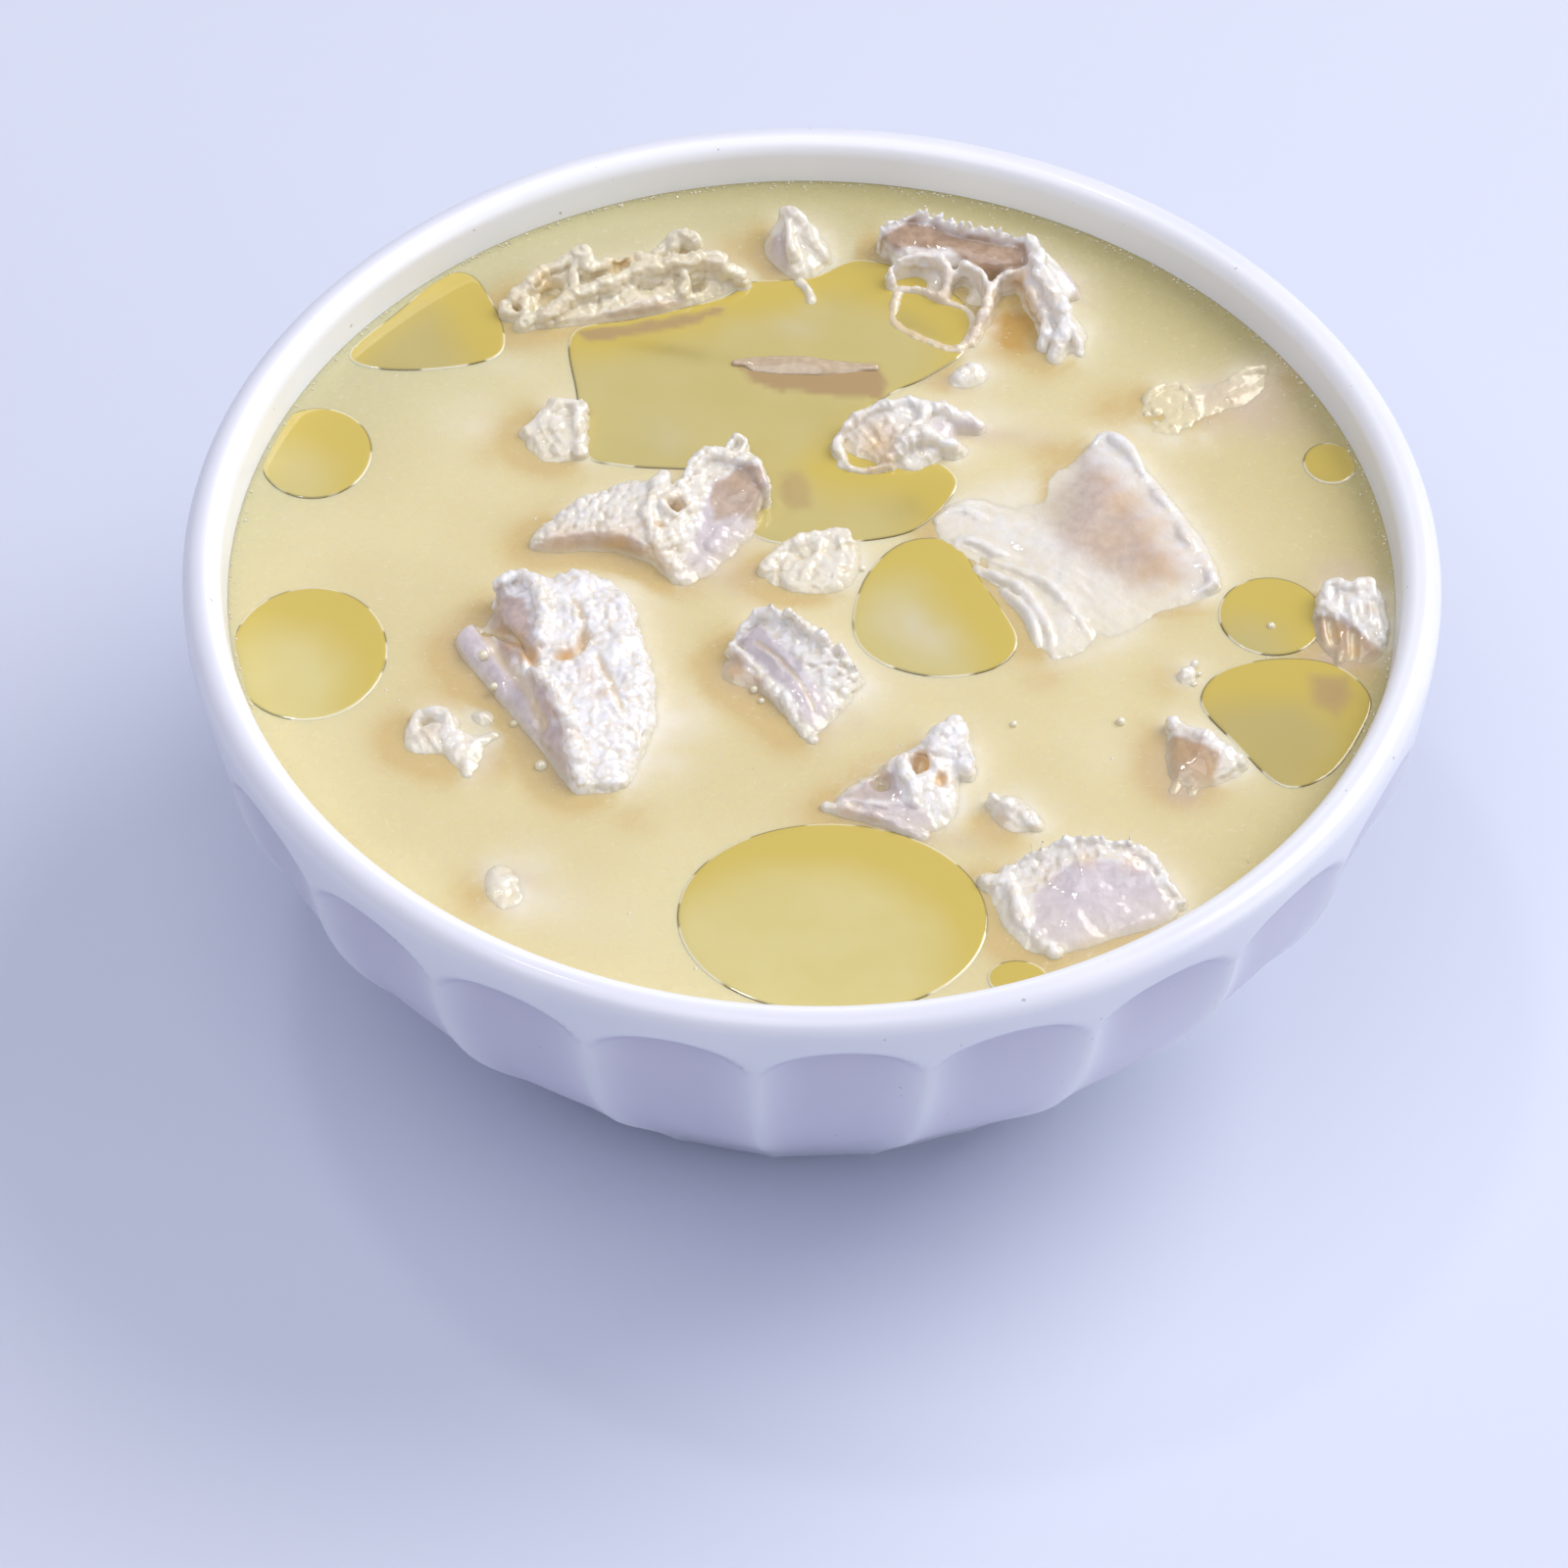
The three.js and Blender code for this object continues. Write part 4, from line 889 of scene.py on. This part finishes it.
def remeshed(points, faces, voxel):
    """One closed skin of even quads round everything in a set of closed shapes."""
    mesh = bpy.data.meshes.new("rough")
    mesh.from_pydata(np.asarray(points).tolist(), [], [list(map(int, f)) for f in faces])
    rough = bpy.data.objects.new("rough", mesh)
    bpy.context.scene.collection.objects.link(rough)
    modifier = rough.modifiers.new("skin", "REMESH")
    modifier.mode = "VOXEL"
    modifier.voxel_size = voxel
    shown = rough.evaluated_get(bpy.context.evaluated_depsgraph_get())
    skin = bpy.data.meshes.new_from_object(shown)
    co = np.zeros(len(skin.vertices) * 3)
    skin.vertices.foreach_get("co", co)
    corners = np.zeros(len(skin.loops), np.int32)
    skin.loops.foreach_get("vertex_index", corners)
    bpy.data.objects.remove(rough)
    bpy.data.meshes.remove(mesh)
    bpy.data.meshes.remove(skin)
    return co.reshape(-1, 3), corners.reshape(-1, 4)


def summed(index, values, count):
    return np.stack([np.bincount(index, column, count) for column in values.T], 1)


def smoothed(points, quads, rounds):
    """Each point moved half way to the middle of its neighbours, several times."""
    here = quads.ravel()
    following = np.roll(quads, -1, 1).ravel()
    ends = np.concatenate([here, following])
    others = np.concatenate([following, here])
    number = np.bincount(ends, minlength=len(points))[:, None]
    for _ in range(rounds):
        points = (points + summed(ends, points[others], len(points)) / number) / 2
    return points


def normals_of(points, quads):
    a, b, c, d = (points[quads[:, i]] for i in range(4))
    face = np.cross(c - a, d - b)
    total = sum(summed(quads[:, i], face, len(points)) for i in range(4))
    return total / np.maximum(np.linalg.norm(total, axis=1), 1e-9)[:, None]


def cad_shape(node):
    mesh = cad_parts[node].data
    points = np.array([v.co for v in mesh.vertices]) / MM
    unique, back = np.unique(np.round(points, 4), axis=0, return_inverse=True)
    mesh.calc_loop_triangles()
    triangles = back.ravel()[np.array([t.vertices for t in mesh.loop_triangles])]
    proper = [t for t in triangles if len(set(t)) == 3]
    return unique, np.array(proper)


def raised(points):
    """Points whose third number is a height above the soup, as places."""
    return [(x, y, SOUP_LEVEL + up) for x, y, up in points]


def near_path(flat, path, half):
    """1 on a path, falling to 0 a little beyond its half width."""
    line = curve_through(path, half / 2)
    distance = np.sqrt(((flat[:, None, :] - line[None, :, :]) ** 2).sum(2)).min(1)
    return 1 - smoothstep(0.3, 1.6, distance / half)


def rough_skin(name, shown, seed):
    """One skin round a piece's CAD solid, with its edges rounded, and its ridges, teeth and dots."""
    points, quads = remeshed(*cad_shape(name), VOXEL_OF_FORM)
    parts = [(smoothed(points, quads, shown["rounding"]), quads)]
    for i, (half, path) in enumerate(shown["ridges"]):
        parts.append(ridge_beads(half, raised(path), shown["uneven"], seed * 31 + i, taper=shown["taper"]))
    for i, (half, path) in enumerate(shown["loops"]):
        parts.append(ridge_beads(half, raised(path), shown["uneven"], seed * 37 + i, closed=True))
    for i, (half, path) in enumerate(shown["teeth"]):
        parts.append(tooth_beads(half, raised(path), seed * 41 + i))
        edge = [(x, y, up - 0.3) for x, y, up in path]
        parts.append(ridge_beads(1.3 * half, raised(edge), 0.2, seed * 43 + i))
    for radius, spots in shown["dots"]:
        parts.append(beads(raised(spots), [radius] * len(spots)))
    points, quads = remeshed(*joined(parts), VOXEL)
    return smoothed(points, quads, SKIN_SMOOTHING), quads


def sculpt(name, shown, seed):
    """A piece of tripe with its papillae, folds and clefts, and the fields for its material."""
    points, quads = rough_skin(name, shown, seed)
    normals = normals_of(points, quads)
    flat = points[:, :2]
    cut, brown = np.zeros((2, len(points)))
    for how_brown, outline in shown["cuts"]:
        away = outside_by(flat, outline) + 0.5 * noise(points, 1.5, seed)
        inside = 1 - smoothstep(-shown["soft"], shown["soft"], away)
        brown = np.maximum(brown, inside * how_brown)
        cut = np.maximum(cut, inside)
    bare = 1 - CUT_SMOOTHNESS * cut
    knobs = knob_field(points + 0.3 * noise(points, 2.5, seed + 3)[:, None], shown["spacing"], seed)
    creased = stretched(points, shown["grain"], FOLD_LENGTH, FOLD_WIDTH)
    folds = 1 - 2 * np.abs(noise(creased, 1, seed + 5)) ** 0.7
    lift = shown["knobs"] * bare * (knobs - 0.5) * (0.75 + 0.5 * noise(points, 3, seed + 7))
    lift = lift + shown["folds"] * bare * folds * 0.6
    lift = lift + shown["rough"] * 0.22 * rough_noise(points, 3.5, seed + 11)
    lift = lift + shown["rough"] * 0.1 * rough_noise(points, 1.1, seed + 13, 2) * (0.3 + 0.7 * bare)
    # broth and painted shade in the grooves between papillae; clefts get the same below
    groove = bare * np.clip(shown["knobs"] * 1.6 * (0.55 - knobs), 0, 1)
    for half, depth, path in shown["cracks"]:
        inside = near_path(flat, path, half) * (normals[:, 2] > -0.2)
        lift = lift - depth * inside
        groove = np.maximum(groove, 0.6 * inside)
    up = points[:, 2] - SOUP_LEVEL
    lift = lift * lerp(0.3, 1, smoothstep(-0.3, 1, up))
    lean = normals * [1, 1, 0] * (FLARE * np.exp(-np.abs(up) / 0.35))[:, None]
    points = points + normals * lift[:, None] + lean + [0, 0, shown["lift"]]

    up = points[:, 2] - SOUP_LEVEL
    warm = np.zeros(len(points))
    # orange spots of broth, and painted shade in hollows and under folds
    for x, y, radius, strength in shown["warm"]:
        away = np.hypot(flat[:, 0] - x, flat[:, 1] - y) / radius
        warm = np.maximum(warm, strength * np.exp(-(away**2)) * (0.85 + 0.3 * noise(points, 1.2, seed)))
    high = np.clip(up, 0, None)
    wet = lerp(shown["creamy"] * (1 - 0.6 * cut), 1, shown["sunk"] * np.exp(-high / shown["veil"]))
    fields = {"cut": cut, "brown": brown, "groove": groove, "warm": np.clip(warm, 0, 1), "wet": wet}
    return points, quads, fields


def make_tripe():
    """Every piece of tripe, and its points, faces and fields for what lies round it."""
    made = []
    for seed, (name, shown) in enumerate(FORMS.items(), 1):
        points, quads, fields = sculpt(name, shown, seed)
        piece = add_object(name + "_cooked", points, quads.tolist(), TRIPE)
        for field, values in fields.items():
            add_field(piece, field, values)
        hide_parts(name)
        made.append((points, quads, fields))
    return made


# ---- The soup ----
def disc_grid(cells):
    """An even grid of quads over a disc of radius 1."""
    steps = np.linspace(-1, 1, cells + 1)
    across, up = np.meshgrid(steps, steps)
    across, up = across.ravel(), up.ravel()
    wide = np.abs(across) > np.abs(up)
    radius = np.where(wide, across, up)
    share = np.divide(np.where(wide, up, across), radius, out=np.zeros_like(radius), where=radius != 0)
    angle = np.where(wide, share * math.pi / 4, math.pi / 2 - share * math.pi / 4)
    flat = np.stack([radius * np.cos(angle), radius * np.sin(angle)], 1)
    return flat, grid_faces(cells + 1, cells + 1, closed=False)


def around_square(cells):
    """The numbers of a square grid's outer points, in turn."""
    side = cells + 1
    bottom = list(range(0, cells))
    right = [cells + side * i for i in range(cells)]
    top = [side * cells + i for i in range(cells, 0, -1)]
    left = [side * i for i in range(cells, 0, -1)]
    return bottom + right + top + left


def patches(flat, listed, seed):
    """Soft uneven patches, the strongest at each point."""
    total = np.zeros(len(flat))
    ragged = 1 + 0.35 * rough_noise(at_height(flat), 3, seed)
    for x, y, long, wide, bearing, strength in listed:
        ahead, side = heading(bearing)
        away = flat - (x, y)
        far = (away @ ahead / long) ** 2 + (away @ side / wide) ** 2
        total = np.maximum(total, strength * np.exp(-far) * ragged)
    return np.clip(total, 0, 1)


def blurred_cover(points, spread):
    """How much of each small square of the bowl some points cover, blurred by spread."""
    reach = [-COVER_WIDTH / 2, COVER_WIDTH / 2]
    cover = (np.histogram2d(*points[:, :2].T, COVER_SQUARES, [reach, reach])[0] > 0).astype(float)
    width = COVER_WIDTH / COVER_SQUARES
    steps = np.arange(-3 * spread, 3 * spread + width, width)
    weights = np.exp(-(steps**2) / (2 * spread**2))
    weights /= weights.sum()
    for axis in (0, 1):
        cover = np.apply_along_axis(np.convolve, axis, cover, weights, "same")
    return cover


def cover_at(cover, flat):
    cells = np.clip(((flat / COVER_WIDTH + 0.5) * COVER_SQUARES).astype(int), 0, COVER_SQUARES - 1)
    return cover[cells[:, 0], cells[:, 1]]


def clear_band(flat, bearing, width):
    """How much a band along the wall shows, from 0 to 1, widest towards a bearing."""
    radius = np.hypot(flat[:, 0], flat[:, 1])
    toward = flat @ heading(bearing)[0] / np.maximum(radius, 1)
    inward = np.clip(soup_radius(SOUP_LEVEL) - radius, 0, None)
    here = lerp(1.5, width, smoothstep(-0.1, 0.95, toward))
    return np.exp(-((inward / here) ** 1.4)) * smoothstep(-0.5, 0.8, toward)


def nearest_tripe(flat, tripe, span):
    """A search tree of the tripe, how far it lies from each point, and how much of a cut face it is."""
    points, faces = joined([(points, quads) for points, quads, _ in tripe])
    cut = np.concatenate([fields["cut"] for _, _, fields in tripe])
    tree = BVHTree.FromPolygons(points.tolist(), [face.tolist() for face in faces])
    away, fleshy = np.full(len(flat), span), np.zeros(len(flat))
    for i, (x, y) in enumerate(flat.tolist()):
        _, _, face, distance = tree.find_nearest((x, y, SOUP_LEVEL), span)
        if face is not None:
            away[i], fleshy[i] = distance, cut[faces[face][0]]
    return tree, away, fleshy


def make_soup(tripe):
    flat, quads = disc_grid(SOUP_CELLS)
    reach = soup_radius(SOUP_LEVEL) + SOUP_REACH
    flat = flat * reach
    tree, away, fleshy = nearest_tripe(flat, tripe, span=8.0)
    ragged = 1 + 0.4 * rough_noise(at_height(flat, SOUP_LEVEL), 1.6, 50)
    seen = np.exp(-away / VEIL_WIDTH) * np.clip(ragged, 0.5, 1.4)
    ghost = np.clip(seen * (1 - 0.4 * fleshy) * 0.48 + patches(flat, PALE_UNDER, 51), 0, 1)
    flesh = np.clip(seen * fleshy * 0.3 + patches(flat, FLESH_UNDER, 52), 0, 1)
    warm = patches(flat, [(x, y, r, r, 0, s) for x, y, r, s in WARM_ROUND], 53)
    standing = np.concatenate([p[p[:, 2] > SOUP_LEVEL + 0.4] for p, _, _ in tripe])
    cover = blurred_cover(standing, SHADE_BLUR)
    # how much standing tripe lies towards the light from each place, for its painted shadow, and away from
    # it, for painted light
    lee, lit = cover_at(cover, flat + SHADE_SHIFT), cover_at(cover, flat - LIT_SHIFT)
    # painted light and shade: the pale tint of tripe under the broth is made stronger on each piece's lit
    # side and taken away where its painted shadow falls
    pale = 0.25 * np.clip(1.5 * lit - 0.8 * lee, 0, 1) - 0.6 * np.clip(2 * lee - 1.6 * lit, 0, 1)
    ghost = np.clip(ghost + pale, 0, 1)
    # painted shadow of the tripe on the broth, with the orange patches of fat and shade
    halo = np.clip(np.maximum(warm, np.clip(1.9 * lee - 1.2 * lit, 0, 0.5)), 0, 1)

    inward = reach - np.hypot(flat[:, 0], flat[:, 1])
    height = SOUP_LEVEL + MENISCUS_HEIGHT * np.exp(-inward / MENISCUS_WIDTH)
    top = at_height(flat, height + CLING_HEIGHT * np.exp(-away / CLING_WIDTH))

    rim = around_square(SOUP_CELLS)
    rings = [top[rim]]
    for radius, level in [(reach, SOUP_LEVEL - 1)] + inner_wall(8):
        share = (radius + SOUP_REACH) / reach
        rings.append(at_height(flat[rim] * share, level))
    under = np.concatenate(rings[1:] + [np.array([[0, 0, FLOOR_INSIDE]])])
    count, first = len(rim), len(top)
    for i in range(count):
        j = (i + 1) % count
        quads.append((rim[i], first + i, first + j, rim[j]))
        for ring in range(len(rings) - 2):
            here, below = first + ring * count, first + (ring + 1) * count
            quads.append((here + i, below + i, below + j, here + j))
        last = first + (len(rings) - 2) * count
        quads.append((last + i, first + len(under) - 1, last + j))
    soup = add_object("soup_surface", np.concatenate([top, under]), quads, BROTH)
    fields = {"ghost": ghost, "flesh": flesh, "halo": halo}
    # clearer broth along the wall, darkened as painted shade of the wall
    fields["olive"] = 0.6 * clear_band(flat, OLIVE_BEARING, OLIVE_WIDTH)
    fields["grey"] = 0.9 * clear_band(flat, GREY_BEARING, GREY_WIDTH)
    for name, values in fields.items():
        add_field(soup, name, np.concatenate([values, np.zeros(len(under))]))
    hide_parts("soup")
    return tree


# ---- The oil ----
OIL_THICKNESS = 1.3
OIL_RISE = 0.15
OIL_LIP = 0.05  # how high the edge of the oil stands above the soup
OIL_BEVEL = 0.3
OIL_LINE = 0.16  # half the width of the thin painted line of highlight and shade at its edge
OIL_STEP = 0.45
OIL_INNER_STEP = 0.8
OIL_INSETS = [0.12, 0.28, 0.5, 0.8, 1.2]
FAR_SIDE = np.array([0.5, 0.87])  # towards what is behind and to the right, where each pool's painted shade lies


def pool_outline(pool):
    if isinstance(pool, dict):
        angles = np.linspace(0, 2 * math.pi, 16, endpoint=False)
        centre, half = np.array(pool["centre"]), np.array(pool["half"])
        pool = centre + half * np.stack([np.cos(angles), np.sin(angles)], 1)
    outline = curve_through(pool, OIL_STEP, closed=True)
    radius = np.hypot(outline[:, 0], outline[:, 1])
    brim = soup_radius(SOUP_LEVEL) - 0.3
    outline = outline * np.minimum(1, brim / radius)[:, None]
    area = np.sum(outline[:, 0] * np.roll(outline[:, 1], -1) - outline[:, 1] * np.roll(outline[:, 0], -1))
    return outline if area > 0 else outline[::-1]


def make_pool(name, pool):
    outline = pool_outline(pool)
    along = np.roll(outline, -1, 0) - np.roll(outline, 1, 0)
    inward = np.stack([-along[:, 1], along[:, 0]], 1) / np.linalg.norm(along, axis=1)[:, None]
    rows = [outline]
    for inset in OIL_INSETS:
        ring = outline + inward * inset
        rows.append(ring[-outside_by(ring, outline) > 0.85 * inset])
    low, high = outline.min(0), outline.max(0)
    xs = np.arange(low[0], high[0], OIL_INNER_STEP)
    ys = np.arange(low[1], high[1], OIL_INNER_STEP)
    middle = np.array([(x + (j % 2) * OIL_INNER_STEP / 2, y) for j, y in enumerate(ys) for x in xs])
    rows.append(middle[outside_by(middle, outline) < -OIL_INSETS[-1] - 0.3])
    flat = np.concatenate(rows)
    border = [(i, (i + 1) % len(outline)) for i in range(len(outline))]
    made = delaunay_2d_cdt([Vector(p) for p in flat.tolist()], border, [], 1, 1e-5)
    flat = np.array([tuple(p) for p in made[0]])
    triangles = [tuple(face) for face in made[2]]
    inside = np.clip(-outside_by(flat, outline), 0, None)
    height = SOUP_LEVEL + OIL_LIP + OIL_RISE * (1 - 0.8 * np.exp(-inside / OIL_BEVEL))
    top, bottom = at_height(flat, height), at_height(flat, SOUP_LEVEL - OIL_THICKNESS)
    count = len(flat)
    faces = triangles + [tuple(count + i for i in reversed(face)) for face in triangles]
    edges = {}
    for face in triangles:
        for a, b in zip(face, face[1:] + face[:1]):
            edges[(a, b)] = edges.get((a, b), 0) + 1
    border = [(a, b) for a, b in edges if (b, a) not in edges]
    faces += [(b, a, count + a, count + b) for a, b in border]
    oil = add_object(name + "_lens", np.concatenate([top, bottom]), faces, OIL)
    reach = min(6.5, 0.34 * math.sqrt(len(triangles)) * OIL_INNER_STEP)
    beyond = outside_by(flat + FAR_SIDE * reach, outline)
    spots = at_height(flat)
    # painted shade, with deeper colour, on the far side of each pool
    deep = smoothstep(-0.75 * reach, 0.35 * reach, beyond + 0.4 * noise(spots, 3, 60))
    # where the painted line of highlight and shade lies
    edge = np.exp(-((inside / OIL_LINE) ** 2)) * 0.9
    fields = {"deep": deep * 0.85, "edge": edge, "ghost": patches(flat, PALE_IN_OIL, 61)}
    fields["olive"] = OIL_DEPTHS.get(name, 0) + patches(flat, OLIVE_IN_OIL, 62)
    fields["flesh"] = np.zeros(len(flat))
    for field, strength, soft, shape in SHAPES_IN_OIL:
        beyond = outside_by(flat, shape) + 0.3 * noise(spots, 1.5, 64)
        fields[field] = np.maximum(fields[field], strength * (1 - smoothstep(-soft, soft, beyond)))
    fields["olive"] = np.clip(fields["olive"], 0, 1)
    for field, values in fields.items():
        add_field(oil, field, np.concatenate([values, values]))
    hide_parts(name)


# ---- Bubbles ----
FOAM_TRIES = 800
FOAM_BEARING = math.radians(150)  # where the foam is thickest
FINE_BUBBLES = 45
# The bubbles that show: (x, y, radius).
CLEAR_BUBBLES = [
    (-38.5, -15.5, 0.7), (-37, -20, 0.55), (-31, -31.5, 0.75), (-34.5, -25, 0.5), (-6.5, -19, 0.5),
    (-5.6, -20.6, 0.4), (36.5, -22.8, 0.6), (24, -23.5, 0.45), (54.8, -7, 0.55), (6, 1.2, 0.5),
]


def make_bubbles(tree):
    """Small bubbles: a line of foam along the wall, and others here and there on the soup."""
    random = np.random.default_rng(7)
    foam, foam_radii, places, radii = [], [], [], []
    brim = soup_radius(SOUP_LEVEL)
    for _ in range(FOAM_TRIES):
        bearing = random.uniform(0, 2 * math.pi)
        toward = math.cos(bearing - FOAM_BEARING)
        if random.random() > 0.3 + 0.7 * max(0, toward):
            continue
        radius = random.uniform(0.07, 0.2)
        out = brim - random.exponential(0.35) - radius
        up = SOUP_LEVEL + MENISCUS_HEIGHT * math.exp(-(brim - out) / MENISCUS_WIDTH)
        foam.append((out * math.sin(bearing), -out * math.cos(bearing), up))
        foam_radii.append(radius)
    for x, y, radius in CLEAR_BUBBLES:
        hit = tree.ray_cast((x, y, SOUP_LEVEL + 20), (0, 0, -1))[0]
        places.append((x, y, max(hit.z if hit else 0, SOUP_LEVEL) + 0.1))
        radii.append(radius)
    for _ in range(FINE_BUBBLES):
        out, bearing = brim * math.sqrt(random.random()) * 0.97, random.uniform(0, 2 * math.pi)
        x, y = out * math.sin(bearing), -out * math.cos(bearing)
        radii.append(random.uniform(0.1, 0.2))
        places.append((x, y, SOUP_LEVEL - 0.3 * radii[-1]))
    points, faces = joined([beads(foam, foam_radii, TINY_BALL), beads(places, radii)])
    add_object("bubbles", points, [face.tolist() for face in faces], BUBBLE)


# ---- Stage, light and camera ----
def make_stage():
    floor = bpy.data.meshes.new("floor")
    reach = 4
    corners = [(-reach, -reach, 0), (reach, -reach, 0), (reach, reach, 0), (-reach, reach, 0)]
    floor.from_pydata(corners, [], [(0, 1, 2, 3)])
    floor.materials.append(Nodes("pale_floor").finish(linear(214, 221, 236), 0.6))
    piece = bpy.data.objects.new("floor", floor)
    bpy.context.scene.collection.objects.link(piece)


def add_light(name, place, size, power, colour):
    light = bpy.data.lights.new(name, "AREA")
    light.shape = "DISK"
    light.size, light.energy, light.color = size, power, colour
    holder = bpy.data.objects.new(name, light)
    holder.location = place
    aim = Vector((0, 0, SOUP_LEVEL * MM)) - Vector(place)
    holder.rotation_euler = aim.to_track_quat("-Z", "Y").to_euler()
    bpy.context.scene.collection.objects.link(holder)


def make_lights():
    """Discs of light: places and widths in metres, powers in watts."""
    add_light("key", (1.05, 0.6, 1.2), 1.3, 19, (1.0, 0.98, 0.95))
    add_light("fill", (-0.3, -0.45, 1.45), 1.2, 7.6, (0.97, 0.97, 1.0))
    add_light("sparkle", (-0.34, 0.36, 1.5), 0.12, 1.2, (1.0, 1.0, 1.0))
    add_light("side", (1.3, -0.4, 0.4), 0.8, 2.9, (1.0, 0.99, 0.97))
    world = bpy.data.worlds.new("world")
    world.use_nodes = True
    background = world.node_tree.nodes["Background"]
    background.inputs["Color"].default_value = (0.8, 0.79, 1.0, 1)
    background.inputs["Strength"].default_value = 0.4
    bpy.context.scene.world = world
    bpy.context.scene.view_settings.view_transform = "Standard"


def turn(angle, first, second):
    """A rotation in the plane of two of the three axes."""
    matrix = np.eye(3)
    matrix[first, first] = matrix[second, second] = math.cos(angle)
    matrix[first, second], matrix[second, first] = -math.sin(angle), math.sin(angle)
    return matrix


def make_camera():
    """Puts the camera where the middle of the rim shows at its place in the photograph."""
    place = np.array([0, -DISTANCE * math.cos(DOWNWARD), DISTANCE * math.sin(DOWNWARD)])
    ahead = -place / DISTANCE
    right = np.array([1.0, 0, 0])
    half = PHOTO_SIZE / 2
    ray = np.array([RIM_POINT[0] - half, half - RIM_POINT[1], FOCAL_LENGTH])
    pan, tilt = math.atan2(ray[0], ray[2]), math.asin(ray[1] / np.linalg.norm(ray))
    axes = np.stack([right, np.cross(right, ahead), ahead], 1)
    axes = axes @ turn(pan, 0, 2) @ turn(tilt, 1, 2) @ turn(ROLL, 0, 1) @ np.diag([1, 1, -1])
    camera = bpy.data.cameras.new("camera")
    camera.sensor_width = SENSOR
    camera.lens = SENSOR * FOCAL_LENGTH / PHOTO_SIZE
    holder = bpy.data.objects.new("camera", camera)
    at = Matrix.Translation((place + [0, 0, RIM_PLANE]) * MM)
    holder.matrix_world = at @ Matrix(axes.tolist()).to_4x4()
    bpy.context.scene.collection.objects.link(holder)
    bpy.context.scene.camera = holder


make_camera()
make_stage()
make_lights()
make_bowl()
tripe_made = make_tripe()
tripe_tree = make_soup(tripe_made)
for pool_name, pool_shape in POOLS.items():
    make_pool(pool_name, pool_shape)
make_bubbles(tripe_tree)
